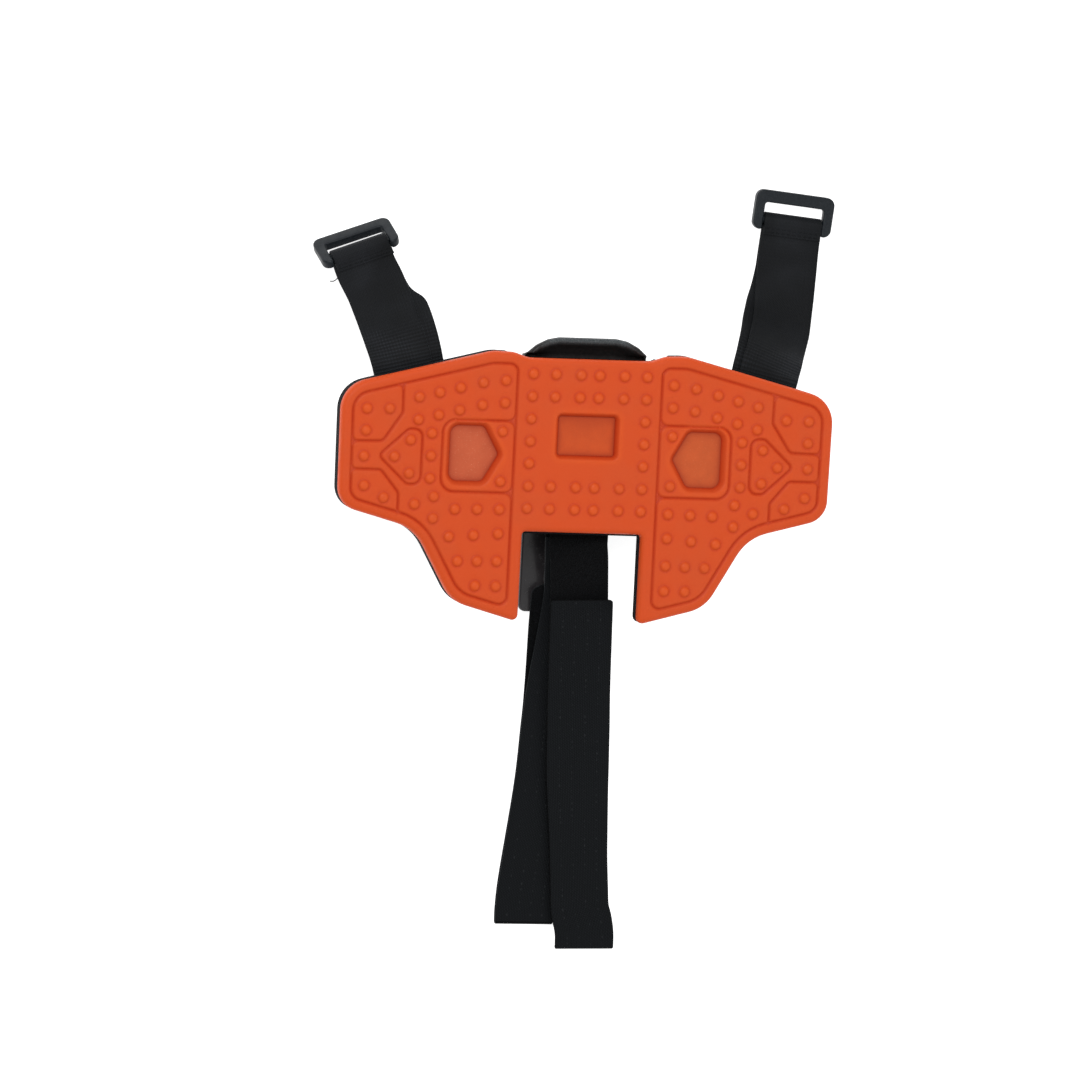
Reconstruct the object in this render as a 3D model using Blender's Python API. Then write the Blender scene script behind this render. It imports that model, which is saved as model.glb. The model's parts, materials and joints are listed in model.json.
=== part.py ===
"""Strap-on support pad: a moulded rubber face on foam, with a rear hook, two ring straps and two long
hook-and-loop straps.

The pad lies on its back: +Z is the face side, +X its right wing and +Y its top edge. The origin is under
the middle of the pad, on the surface that the hook's tongue rests on. Dimensions are in millimetres and
are scaled to metres when a mesh is made.
"""

import math

import bmesh
import bpy
from mathutils import Vector

METRES = 0.001                  # one millimetre in scene units
GAP = 0.3                       # clearance between pieces that touch

# Layers of the pad, from the surface up
TONGUE_THICKNESS = 3.2
ARM_TOP = 19.1                  # the hook's upper arm
ARM_BOTTOM = ARM_TOP - TONGUE_THICKNESS
PLATE_BOTTOM = ARM_TOP + GAP
PLATE_TOP = 22.0
PLY = 1.1                       # one layer of webbing
STRAP_ZONE_TOP = 24.8           # the straps are clamped between the plate and the foam
FOAM_BOTTOM = 25.1
FOAM_TOP = 31.9
FACE_BOTTOM = FOAM_TOP + GAP
FACE_TOP = 36.0
FACE_ROUND = 1.2                # chamfer along the face's edges
NUB_HEIGHT = 1.1
NUB_RADIUS = 2.6
NUB_TOP_RADIUS = 1.7

# Plan of the pad
HINGE_X = 31.0                  # fold line between the centre and a wing
HINGE_Z = 34.8
HINGE_DRAFT = math.tan(math.radians(8.5))   # the walls beside a fold line lean apart below it
TOP_Y = 50.2
SHOULDER_X = 41.0
SHOULDER_Y = 52.6
SHOULDER_SLOPE = -0.2545        # the wing's top edge drops outwards
OUTER_X = 105.5
NOTCH_X = 25.5
NOTCH_Y = -22.4
LEG_Y = -58.9                   # lower edge at the fold line
NUB_PITCH = 9.4

# Straps and rings
WEB_WIDTH = 25.0
STRAP_THICKNESS = 2 * PLY + 0.2
STRAP_ROOT = (77.6, 45.2, 23.5) # where the right ring strap leaves the foam, and bends
TAIL_LENGTH = 22.0              # of a ring strap under the foam
TAIL_GAP = 2.0                  # room for the strap to bend up beside its tail
BAR_RADIUS = 1.65
BORE_RADIUS = 2.0
LOOP_RADIUS = 3.4
RING_HALF_WIDTH = 17.0
RING_SLOT_HALF = 12.8
RING_LOW = -4.4
RING_SLOT_TOP = 7.2
RING_TOP = 12.4
RING_THICKNESS = 4.0

# Rear hook
HOOK_HALF_WIDTH = 18.0
HOOK_BEND_Y = 44.0
TONGUE_TIP_Y = -59.0
ARM_TIP_Y = 8.0
LIP_HALF_WIDTH = 25.6
RIVETS = [(sx * 9.0, y) for sx in (-1, 1) for y in (16.0, 36.0)]
SCREWS = [(sx * 21.4, y) for sx in (-1, 1) for y in (-14.0, 38.0)]
RIVET_HOLE = 2.2                # radius
SCREW_HOLE = 1.8                # radius
SCREW_TIP = FOAM_BOTTOM + 3.8
RAIL_X = 20.5                   # middle of the rails that the foam sits on
RAIL_HALF_WIDTH = 4.0
RIM_TOP = 26.8                  # raised rim past the pad's top edge
RIB_HALF_WIDTH = 8.0
RIB_HEIGHT = 1.3


# ---------------------------------------------------------------- outlines

def rounded(corners, step_deg=15.0):
    """Outline through (x, y, radius) corners, each corner replaced by an arc of its radius."""
    points = []
    count = len(corners)
    for index, (x, y, radius) in enumerate(corners):
        here = Vector((x, y))
        back = (Vector(corners[index - 1][:2]) - here).normalized()
        ahead = (Vector(corners[(index + 1) % count][:2]) - here).normalized()
        half = back.angle(ahead) / 2
        if radius <= 0 or half > math.radians(89.5):
            points.append(here)
            continue
        middle = (back + ahead).normalized()
        centre = here + middle * (radius / math.sin(half))
        start = here + back * (radius / math.tan(half)) - centre
        sweep = start.angle_signed(here + ahead * (radius / math.tan(half)) - centre)
        steps = max(2, round(abs(math.degrees(sweep)) / step_deg))
        for number in range(steps + 1):
            turn = -sweep * number / steps
            points.append(centre + Vector((start.x * math.cos(turn) - start.y * math.sin(turn),
                                           start.x * math.sin(turn) + start.y * math.cos(turn))))
    return points


def flip(points):
    """The outline mirrored in the pad's centre line, keeping its turning direction."""
    return [Vector((-p.x, p.y)) for p in reversed(points)]


def wing_outline():
    inner = HINGE_X + GAP / 2
    return rounded([
        (inner, 51.6, 0), (inner, LEG_Y, 0), (54.5, -52.4, 16), (71.4, -22.6, 20), (104.8, -13.6, 10),
        (OUTER_X, 36.4, 13), (SHOULDER_X, SHOULDER_Y, 18)])


def centre_outline():
    outer = HINGE_X - GAP / 2
    half = [(26.5, TOP_Y, 8), (outer, 51.6, 0), (outer, LEG_Y, 0), (NOTCH_X, -60.4, 2.2),
            (NOTCH_X, NOTCH_Y, 1.5)]
    other = [(-x, y, r) for x, y, r in half]
    return rounded(half[::-1] + other)


def pentagon_window(grow=0.0):
    """The wing's window: a flat outer side and a point towards the fold line."""
    return rounded([
        (36.6 - grow, 9.5, 2), (43.6 - grow / 2, -2.2 - grow, 3), (58 + grow, -2.2 - grow, 3.5),
        (58 + grow, 21.2 + grow, 3.5), (43.6 - grow / 2, 21.2 + grow, 3)], 30)


def centre_window(grow=0.0):
    return rounded([(-12.8 - grow, 9.2 - grow, 1), (12.8 + grow, 9.2 - grow, 1),
                    (12.8 + grow, 26.6 + grow, 1), (-12.8 - grow, 26.6 + grow, 1)], 45)


def top_edge(x):
    """Height of the pad's top edge over the wing."""
    return SHOULDER_Y + SHOULDER_SLOPE * max(0.0, x - SHOULDER_X)


def row(x, y, dx, dy, count):
    return [(x + dx * i, y + dy * i) for i in range(count)]


def wing_nubs():
    """Centres of the right wing's nubs: rows that follow its top edge, then its cells."""
    nubs = [(x, top_edge(x) - drop) for drop in (12.0, 21.4) for x in (36, 45.6, 55.2, 64, 72.6)]
    nubs += [(85, 27.4), (94.7, 27.2), (94.7, 18.1), (95.1, 7.3), (94.5, -5), (85.9, -9.8)]
    nubs += row(66.5, 17.6, 0, -NUB_PITCH, 3)
    nubs += [(75.5, 14.6), (82.1, 7.5), (75.5, 0.6)]
    nubs += [(36.4, 19.2), (36.4, -1.7)]
    nubs += [(64.5, -8.8), (72.6, -12.2), (64.4, -17.9)]
    nubs += row(36.2, -13.4, 9.5, -0.2, 3)
    nubs += row(36.2, -23.6, 10.5, -0.9, 3)
    nubs += row(36.2, -35.1, 8.4, -0.2, 3)
    nubs += row(36.1, -45.6, 8.9, 0, 2)
    return nubs


def centre_nubs():
    columns = (-24.4, -14.7, -4.0, 4.0, 14.7, 24.4)
    nubs = [(x, y) for y in (43.7, 34.3, -3.3, -12.6) for x in columns]
    nubs += [(x, y) for y in (24.9, 15.5, 6.2) for x in (columns[0], columns[-1])]
    return nubs


# ---------------------------------------------------------------- mesh helpers

def material(name, colour, roughness, metallic=0.0):
    made = bpy.data.materials.new(name)
    made.use_nodes = True
    shader = made.node_tree.nodes["Principled BSDF"]
    shader.inputs["Base Color"].default_value = (*colour, 1.0)
    shader.inputs["Roughness"].default_value = roughness
    shader.inputs["Metallic"].default_value = metallic
    return made


def new_object(name, bm, finish=None, origin=(0, 0, 0)):
    """Make an object from a mesh in millimetres, with its origin at a point given in millimetres."""
    bmesh.ops.translate(bm, verts=bm.verts, vec=-Vector(origin))
    bmesh.ops.scale(bm, verts=bm.verts, vec=(METRES, METRES, METRES))
    bmesh.ops.recalc_face_normals(bm, faces=bm.faces)
    mesh = bpy.data.meshes.new(name)
    bm.to_mesh(mesh)
    bm.free()
    mesh.shade_smooth()
    mesh.set_sharp_from_angle(angle=math.radians(35))
    made = bpy.data.objects.new(name, mesh)
    made.location = Vector(origin) * METRES
    bpy.context.scene.collection.objects.link(made)
    if finish:
        mesh.materials.append(finish)
    return made


def cutter(name, bm):
    made = new_object(name, bm)
    made.hide_render = True
    made.display_type = "WIRE"
    return made


def boolean(target, tool, operation):
    step = target.modifiers.new(tool.name, "BOOLEAN")
    step.object = tool
    step.operation = operation
    step.solver = "EXACT"


def slab(outline, low, high, chamfer=0.0):
    """A flat piece between two heights, with its upper edge chamfered."""
    bm = bmesh.new()
    base = bm.faces.new([bm.verts.new((p[0], p[1], low)) for p in outline])
    top = bmesh.ops.extrude_face_region(bm, geom=[base])["geom"]
    lifted = [item for item in top if isinstance(item, bmesh.types.BMVert)]
    bmesh.ops.translate(bm, verts=lifted, vec=(0, 0, high - chamfer - low))
    if chamfer:
        face = next(item for item in top if isinstance(item, bmesh.types.BMFace))
        bmesh.ops.recalc_face_normals(bm, faces=bm.faces)
        bmesh.ops.inset_region(bm, faces=[face], thickness=chamfer, use_even_offset=True)
        bmesh.ops.translate(bm, verts=face.verts, vec=(0, 0, chamfer))
    return bm


def add_frustum(bm, x, y, low, high, low_radius, high_radius, sides=8):
    """Add one closed turned body on a vertical axis."""
    rings = [[bm.verts.new((x + radius * math.cos(math.tau * i / sides),
                            y + radius * math.sin(math.tau * i / sides), height))
              for i in range(sides)]
             for height, radius in ((low, low_radius), (high, high_radius))]
    bm.faces.new(rings[0][::-1])
    bm.faces.new(rings[1])
    for i in range(sides):
        j = (i + 1) % sides
        bm.faces.new((rings[0][i], rings[0][j], rings[1][j], rings[1][i]))


def lean_fold_walls(bm):
    """Lean the walls beside the fold lines, so that the wings can fold back without pinching."""
    for vert in bm.verts:
        side = abs(vert.co.x) - HINGE_X
        if abs(side) < 2 * FACE_ROUND and vert.co.z < HINGE_Z:
            shift = math.copysign((HINGE_Z - vert.co.z) * HINGE_DRAFT, side)
            vert.co.x += math.copysign(1, vert.co.x) * shift


def axes_along(path, index):
    """Tangent, width direction and normal of a strap at one of its points."""
    before = path[max(0, index - 1)]
    after = path[min(len(path) - 1, index + 1)]
    tangent = (after - before).normalized()
    width = tangent.cross(Vector((0, 0, 1))).normalized()
    return tangent, width, width.cross(tangent)


def add_ribbon(bm, path, width, low, high):
    """Sweep a flat strap along a path, between two offsets along its normal."""
    rings = []
    for index, point in enumerate(path):
        _, across, normal = axes_along(path, index)
        corners = ((-1, low), (1, low), (1, high), (-1, high))
        rings.append([bm.verts.new(point + across * side * width / 2 + normal * offset)
                      for side, offset in corners])
    bm.faces.new(rings[0][::-1])
    bm.faces.new(rings[-1])
    for first, second in zip(rings, rings[1:]):
        for i in range(4):
            j = (i + 1) % 4
            bm.faces.new((first[i], first[j], second[j], second[i]))


def add_bar(bm, centre, direction, radius, length, sides=16):
    """Add a closed round bar along a direction."""
    direction = direction.normalized()
    up = Vector((0, 0, 1))
    side = direction.cross(up).normalized()
    up = side.cross(direction)
    rings = []
    for end in (-0.5, 0.5):
        middle = centre + direction * length * end
        rings.append([bm.verts.new(middle + side * radius * math.cos(math.tau * i / sides)
                                   + up * radius * math.sin(math.tau * i / sides))
                      for i in range(sides)])
    bm.faces.new(rings[0][::-1])
    bm.faces.new(rings[1])
    for i in range(sides):
        j = (i + 1) % sides
        bm.faces.new((rings[0][i], rings[0][j], rings[1][j], rings[1][i]))


def curve_through(points, per_span=5):
    """Catmull-Rom curve through points chosen by hand."""
    knots = [Vector(p) for p in points]
    knots = [2 * knots[0] - knots[1]] + knots + [2 * knots[-1] - knots[-2]]
    path = []
    for a, b, c, d in zip(knots, knots[1:], knots[2:], knots[3:]):
        for number in range(per_span):
            t = number / per_span
            path.append(0.5 * (2 * b + (c - a) * t + (2 * a - 5 * b + 4 * c - d) * t * t
                               + (3 * b - a - 3 * c + d) * t ** 3))
    path.append(knots[-2])
    return path


# ---------------------------------------------------------------- the pad

def build_face(name, outline, window, nubs, finish):
    """One section of the moulded rubber face, with its window and raised nubs."""
    bm = slab(outline, FACE_BOTTOM, FACE_TOP, FACE_ROUND)
    lean_fold_walls(bm)
    face = new_object(name, bm, finish)
    hole = cutter(name + "_window", slab(window, FACE_BOTTOM - 2, FACE_TOP + 2))
    boolean(face, hole, "DIFFERENCE")
    bumps = bmesh.new()
    for x, y in nubs:
        add_frustum(bumps, x, y, FACE_TOP - 1, FACE_TOP + NUB_HEIGHT, NUB_RADIUS, NUB_TOP_RADIUS)
    boolean(face, cutter(name + "_nubs", bumps), "UNION")
    return face


def build_foam(name, outline, finish, screws=()):
    bm = slab(outline, FOAM_BOTTOM, FOAM_TOP)
    lean_fold_walls(bm)
    foam = new_object(name, bm, finish)
    if screws:
        holes = bmesh.new()
        for x, y in screws:
            add_frustum(holes, x, y, FOAM_BOTTOM - 1, SCREW_TIP + 0.4, SCREW_HOLE, SCREW_HOLE)
        boolean(foam, cutter(name + "_screw_holes", holes), "DIFFERENCE")
    return foam


def build_pad(face_finish, foam_finish, insert_finish):
    wing = wing_outline()
    sections = {
        "left_wing": (flip(wing), flip(pentagon_window()), [(-x, y) for x, y in wing_nubs()]),
        "centre": (centre_outline(), centre_window(), centre_nubs()),
        "right_wing": (wing, pentagon_window(), wing_nubs())}
    for name, (outline, window, nubs) in sections.items():
        build_face(name + "_face", outline, window, nubs, face_finish)
        build_foam(name + "_foam", outline, foam_finish, SCREWS if name == "centre" else ())
    inserts = {
        "left_wing": flip(pentagon_window(-GAP)),
        "centre": centre_window(-GAP),
        "right_wing": pentagon_window(-GAP)}
    for name, outline in inserts.items():
        new_object(name + "_insert", slab(outline, FACE_BOTTOM, FACE_BOTTOM + 1.0), insert_finish)


# ---------------------------------------------------------------- the rear hook

def build_base_plate(finish):
    """Plate under the foam, with two rails that the foam sits on and a raised rim past the top edge."""
    lip = [(LIP_HALF_WIDTH, 46.5, 1), (LIP_HALF_WIDTH, 52.7, 1), (17.9, 57.6, 3), (12.6, 58.7, 3)]
    body = [(25, -20, 4), (25, 46.5, 0)] + lip
    outline = rounded(body + [(-x, y, r) for x, y, r in reversed(body)], 30)
    plate = new_object("base_plate", slab(outline, PLATE_BOTTOM, PLATE_TOP), finish)
    for side in (-1, 1):
        near = side * RAIL_X - RAIL_HALF_WIDTH
        far = side * RAIL_X + RAIL_HALF_WIDTH
        rail = rounded([(near, -19, 2), (far, -19, 2), (far, 44, 2), (near, 44, 2)], 30)
        name = "rail_" + ("left" if side < 0 else "right")
        boolean(plate, cutter(name, slab(rail, PLATE_TOP - 1, STRAP_ZONE_TOP)), "UNION")
    half_rim = [(22.6, 51.2), (25.5, 51.2), (25.5, 52.6), (17.8, 57.5), (12.5, 58.6)]
    inner_rim = [(12, 55.8), (16.4, 54.9)]
    rim = half_rim + [(-x, y) for x, y in reversed(half_rim)]
    rim += [(-x, y) for x, y in reversed(inner_rim)] + inner_rim
    boolean(plate, cutter("lip_rim", slab(rim, PLATE_TOP - 1, RIM_TOP, 0.8)), "UNION")
    holes = bmesh.new()
    for x, y in RIVETS:
        add_frustum(holes, x, y, PLATE_BOTTOM - 1, PLATE_TOP + 1, RIVET_HOLE, RIVET_HOLE)
    for x, y in SCREWS:
        add_frustum(holes, x, y, PLATE_BOTTOM - 1, STRAP_ZONE_TOP + 1, SCREW_HOLE, SCREW_HOLE)
    boolean(plate, cutter("plate_holes", holes), "DIFFERENCE")


def build_hook(finish):
    """J-shaped hook: an arm under the base plate, a bend past the top edge and a long flat tongue."""
    middle = ARM_TOP / 2
    arc = [math.pi / 2 - math.pi * i / 12 for i in range(13)]
    inner_radius = middle - TONGUE_THICKNESS
    outer = [(HOOK_BEND_Y + middle * math.cos(a), middle + middle * math.sin(a)) for a in arc]
    inner = [(HOOK_BEND_Y + inner_radius * math.cos(a), middle + inner_radius * math.sin(a))
             for a in reversed(arc)]
    profile = [(ARM_TIP_Y, ARM_TOP)] + outer
    profile += [(TONGUE_TIP_Y, 0), (TONGUE_TIP_Y, TONGUE_THICKNESS)] + inner + [(ARM_TIP_Y, ARM_BOTTOM)]
    bm = bmesh.new()
    side = bm.faces.new([bm.verts.new((-HOOK_HALF_WIDTH, y, z)) for y, z in profile])
    moved = bmesh.ops.extrude_face_region(bm, geom=[side])["geom"]
    bmesh.ops.translate(bm, vec=(2 * HOOK_HALF_WIDTH, 0, 0),
                        verts=[item for item in moved if isinstance(item, bmesh.types.BMVert)])
    hook = new_object("hook", bm, finish)
    reach = HOOK_HALF_WIDTH + 1
    plan = rounded([(-HOOK_HALF_WIDTH - 0.05, TONGUE_TIP_Y, 3), (HOOK_HALF_WIDTH + 0.05, TONGUE_TIP_Y, 3),
                    (reach, 60, 0), (-reach, 60, 0)], 18)
    boolean(hook, cutter("hook_plan", slab(plan, -1, ARM_TOP + 1)), "INTERSECT")
    rib = rounded([(-RIB_HALF_WIDTH, -50, 4), (RIB_HALF_WIDTH, -50, 4),
                   (RIB_HALF_WIDTH, 36, 4), (-RIB_HALF_WIDTH, 36, 4)], 30)
    boolean(hook, cutter("tongue_rib", slab(rib, 1, TONGUE_THICKNESS + RIB_HEIGHT, 0.6)), "UNION")
    holes = bmesh.new()
    for x, y in RIVETS:
        add_frustum(holes, x, y, ARM_BOTTOM - 1, ARM_TOP + 1, RIVET_HOLE, RIVET_HOLE)
    boolean(hook, cutter("hook_holes", holes), "DIFFERENCE")


def build_fastener(name, place, finish, low, high, shank, head, cap, has_top_head):
    """A rivet or screw: a shank with a domed head below and, for a rivet, a flat head above.

    The shank, head and cap are its radius, its head's radius and the height of its head.
    """
    x, y = place
    profile = [(0, low - cap), (head * 0.6, low - cap), (head, low - cap * 0.4), (head, low - GAP / 2),
               (shank, low - GAP / 2)]
    if has_top_head:
        profile += [(shank, high + GAP / 2), (head, high + GAP / 2), (head, high + cap), (0, high + cap)]
    else:
        profile += [(shank, high - 1), (0, high)]
    sides = 16
    bm = bmesh.new()
    rings = []
    for radius, height in profile:
        if radius == 0:
            rings.append([bm.verts.new((x, y, height))])
            continue
        rings.append([bm.verts.new((x + radius * math.cos(math.tau * i / sides),
                                    y + radius * math.sin(math.tau * i / sides), height))
                      for i in range(sides)])
    for first, second in zip(rings, rings[1:]):
        for i in range(sides):
            j = (i + 1) % sides
            if len(first) == 1:
                bm.faces.new((first[0], second[j], second[i]))
            elif len(second) == 1:
                bm.faces.new((first[i], first[j], second[0]))
            else:
                bm.faces.new((first[i], first[j], second[j], second[i]))
    new_object(name, bm, finish)


# ---------------------------------------------------------------- ring straps

def ring_strap_path(side):
    """Centre line of a ring strap, from just inside the pad's edge to the ring's bar."""
    root_x, root_y, root_z = STRAP_ROOT
    if side > 0:
        points = [(78.3, 48.0, 22.8), (80.6, 54.0, 18.6), (84.2, 63.0, 10.0), (87.0, 73.0, 4.8),
                  (88.6, 84.0, 3.5), (89.7, 96.0, 3.5), (90.9, 107.9, 3.6)]
    else:
        points = [(-78.3, 48.0, 23.1), (-80.0, 54.5, 20.8), (-83.2, 64.0, 16.8), (-88.1, 75.0, 13.4),
                  (-93.1, 84.2, 12.2), (-96.0, 91.7, 12.0)]
    return curve_through([(side * root_x, root_y, root_z)] + points, 3)


def build_ring_strap(name, side, finish):
    """Doubled webbing that ends in a loop round the ring's bar, with its folded end sewn down."""
    path = ring_strap_path(side)
    bar = path[-1]
    _, across, _ = axes_along(path, len(path) - 1)
    bm = bmesh.new()
    add_ribbon(bm, path, WEB_WIDTH, -STRAP_THICKNESS / 2, STRAP_THICKNESS / 2)
    strap = new_object(name, bm, finish, origin=path[0])
    eye = bmesh.new()
    add_bar(eye, bar, across, LOOP_RADIUS, WEB_WIDTH)
    boolean(strap, cutter(name + "_eye", eye), "UNION")
    fold = bmesh.new()
    add_ribbon(fold, path[-4:], WEB_WIDTH - 0.4, 0.6, STRAP_THICKNESS / 2 + PLY)
    boolean(strap, cutter(name + "_folded_end", fold), "UNION")
    bore = bmesh.new()
    add_bar(bore, bar, across, BORE_RADIUS, WEB_WIDTH + 4)
    boolean(strap, cutter(name + "_bore", bore), "DIFFERENCE")


def build_ring(name, side, droop_deg, finish):
    """Plastic ring: a flat frame whose round lower bar turns in the strap's loop."""
    path = ring_strap_path(side)
    bar = path[-1]
    tangent, across, _ = axes_along(path, len(path) - 1)
    flat = Vector((tangent.x, tangent.y, 0)).normalized()
    droop = math.radians(droop_deg)
    out = flat * math.cos(droop) - Vector((0, 0, 1)) * math.sin(droop)
    normal = across.cross(out)
    frame = rounded([
        (-RING_HALF_WIDTH, RING_LOW, 1.8), (-RING_SLOT_HALF, RING_LOW, 0.8),
        (-RING_SLOT_HALF, RING_SLOT_TOP, 1.2), (RING_SLOT_HALF, RING_SLOT_TOP, 1.2),
        (RING_SLOT_HALF, RING_LOW, 0.8), (RING_HALF_WIDTH, RING_LOW, 1.8),
        (RING_HALF_WIDTH, RING_TOP, 3.2), (-RING_HALF_WIDTH, RING_TOP, 3.2)], 30)
    bm = slab(frame, -RING_THICKNESS / 2, RING_THICKNESS / 2, 0.5)
    for vert in bm.verts:
        x, y, z = vert.co
        vert.co = bar + across * x + out * y + normal * z
    ring = new_object(name, bm, finish, origin=bar)
    rod = bmesh.new()
    add_bar(rod, bar, across, BAR_RADIUS, 2 * RING_SLOT_HALF + 2)
    boolean(ring, cutter(name + "_bar", rod), "UNION")


def build_strap_tail(name, side, finish):
    """The ring strap's sewn end, flat under the wing's foam."""
    along = Vector((side * -SHOULDER_SLOPE, 1, 0)).normalized()
    root_x, root_y, _ = STRAP_ROOT
    edge = Vector((side * root_x, root_y, (PLATE_TOP + GAP + STRAP_ZONE_TOP) / 2)) - along * TAIL_GAP
    path = [edge - along * distance for distance in (TAIL_LENGTH, TAIL_LENGTH / 2, 0)]
    bm = bmesh.new()
    add_ribbon(bm, path, WEB_WIDTH, -STRAP_THICKNESS / 2, STRAP_THICKNESS / 2)
    new_object(name, bm, finish)


# ---------------------------------------------------------------- long straps

LOWER_BASE = [(0.2, -24.5, 22.85), (0.2, -29.0, 20.9), (1.0, -37.0, 16.2), (2.8, -52.0, 8.8),
              (2.4, -68.0, 5.6), (0.2, -90.0, 3.0), (-1.1, -104.0, 2.3), (-2.8, -128.0, 2.2),
              (-5.5, -153.5, 2.2), (-7.9, -174.0, 2.2), (-8.6, -184.0, 2.2), (-8.6, -189.5, 2.2)]
UPPER_BASE = [(0.8, -25.0, 24.25), (0.8, -29.0, 23.65), (2.3, -37.0, 20.6), (5.2, -52.0, 12.6),
              (6.6, -68.0, 8.8), (7.9, -90.0, 5.9), (8.6, -104.0, 4.8), (9.7, -128.0, 4.1),
              (12.2, -153.5, 4.0), (13.8, -174.0, 4.0), (14.6, -183.0, 3.9), (16.3, -189.0, 3.7),
              (17.2, -194.0, 3.6), (17.4, -199.0, 3.5)]
FLAP_LIFT = PLY + GAP           # from the middle of a strap to the middle of its flap


def smooth(share):
    share = min(1.0, max(0.0, share))
    return share * share * (3 - 2 * share)


def build_long_strap(name, points, finish, flap_side, flap_end_y, lean, lean_from_y, lean_to_y):
    """A strap that runs off the pad, and its free end, doubled back over or under it and pressed on.

    The flap lies above the strap for a flap_side of 1 and below it for -1. It drifts sideways by the
    lean, between two places along the strap.
    """
    path = curve_through(points, 3)
    bm = bmesh.new()
    add_ribbon(bm, path, WEB_WIDTH, -PLY / 2, PLY / 2)
    new_object(name, bm, finish, origin=path[0])
    covered = []
    for point in path:
        if point.y < flap_end_y:
            share = (point.y - lean_from_y) / (lean_to_y - lean_from_y)
            covered.append(point + Vector((lean * smooth(share), 0, 0)))
    middle = flap_side * FLAP_LIFT
    bm = bmesh.new()
    add_ribbon(bm, covered, WEB_WIDTH, middle - PLY / 2, middle + PLY / 2)
    new_object(name + "_flap", bm, finish, origin=path[-1])


def build_strap_anchor(finish):
    """The long straps' sewn ends, clamped between the base plate and the foam."""
    outline = rounded([(-13.5, NOTCH_Y - 0.2, 0), (13.5, NOTCH_Y - 0.2, 0), (13.5, -4, 1), (-13.5, -4, 1)])
    new_object("strap_anchor", slab(outline, PLATE_TOP + GAP, STRAP_ZONE_TOP), finish)


# ---------------------------------------------------------------- assembly

def main():
    for old in list(bpy.data.objects):
        bpy.data.objects.remove(old, do_unlink=True)

    face = material("face_rubber", (0.73, 0.10, 0.02), 0.55)
    foam = material("foam", (0.012, 0.012, 0.014), 0.9)
    insert = material("insert_rubber", (0.52, 0.15, 0.06), 0.7)
    plate = material("plate_plastic", (0.015, 0.015, 0.017), 0.5)
    hook = material("hook_plastic", (0.03, 0.028, 0.03), 0.22)
    webbing = material("webbing", (0.012, 0.014, 0.016), 0.85)
    loop_tape = material("loop_tape", (0.01, 0.011, 0.013), 0.95)
    ring = material("ring_plastic", (0.02, 0.024, 0.028), 0.4)
    steel = material("fastener_steel", (0.5, 0.5, 0.52), 0.3, 1.0)

    build_pad(face, foam, insert)
    build_base_plate(plate)
    build_hook(hook)
    for number, place in enumerate(RIVETS, 1):
        build_fastener(f"rivet_{number}", place, steel, low=ARM_BOTTOM, high=PLATE_TOP,
                       shank=1.9, head=3.6, cap=1.3, has_top_head=True)
    for number, place in enumerate(SCREWS, 1):
        build_fastener(f"screw_{number}", place, steel, low=PLATE_BOTTOM, high=SCREW_TIP,
                       shank=1.5, head=2.8, cap=1.2, has_top_head=False)
    for label, side, droop in (("left", -1, 58), ("right", 1, 0)):
        build_ring_strap(label + "_ring_strap", side, webbing)
        build_ring(label + "_ring", side, droop, ring)
        build_strap_tail(label + "_strap_tail", side, webbing)
    build_strap_anchor(webbing)
    build_long_strap("lower_strap", LOWER_BASE, loop_tape, flap_side=-1, flap_end_y=-47.0,
                     lean=-4.9, lean_from_y=-104.0, lean_to_y=-50.0)
    build_long_strap("upper_strap", UPPER_BASE, loop_tape, flap_side=1, flap_end_y=-51.5,
                     lean=2.0, lean_from_y=-165.0, lean_to_y=-120.0)


main()
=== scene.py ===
import json
import math
import random

import bmesh
import bpy
import numpy as np
from mathutils import Matrix, Vector
from mathutils.geometry import delaunay_2d_cdt
from mathutils.kdtree import KDTree


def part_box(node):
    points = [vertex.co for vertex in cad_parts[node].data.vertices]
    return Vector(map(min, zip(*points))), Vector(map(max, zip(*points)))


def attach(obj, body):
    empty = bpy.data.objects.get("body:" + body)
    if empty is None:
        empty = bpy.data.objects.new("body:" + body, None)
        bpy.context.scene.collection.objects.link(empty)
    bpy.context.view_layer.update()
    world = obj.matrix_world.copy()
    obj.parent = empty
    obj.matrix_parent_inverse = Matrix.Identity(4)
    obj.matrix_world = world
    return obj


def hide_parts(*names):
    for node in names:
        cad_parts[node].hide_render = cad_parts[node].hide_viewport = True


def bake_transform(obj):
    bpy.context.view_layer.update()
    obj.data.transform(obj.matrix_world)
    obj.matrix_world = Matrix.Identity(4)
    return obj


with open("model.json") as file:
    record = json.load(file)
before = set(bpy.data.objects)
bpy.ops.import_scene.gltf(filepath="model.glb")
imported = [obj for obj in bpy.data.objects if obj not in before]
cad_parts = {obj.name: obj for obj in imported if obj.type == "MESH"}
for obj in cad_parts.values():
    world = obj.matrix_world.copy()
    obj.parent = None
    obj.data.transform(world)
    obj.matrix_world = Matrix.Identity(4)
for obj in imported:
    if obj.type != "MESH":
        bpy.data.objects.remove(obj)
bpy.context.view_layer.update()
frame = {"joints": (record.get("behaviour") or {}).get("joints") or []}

MM = 0.001                      # lengths below are in millimetres
GAP = 0.3


def node_box(name):
    """Lowest and highest corner of a CAD node, in millimetres."""
    low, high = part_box(name)
    return low / MM, high / MM


# ---------------------------------------------------------------- sizes read from the frame

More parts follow.
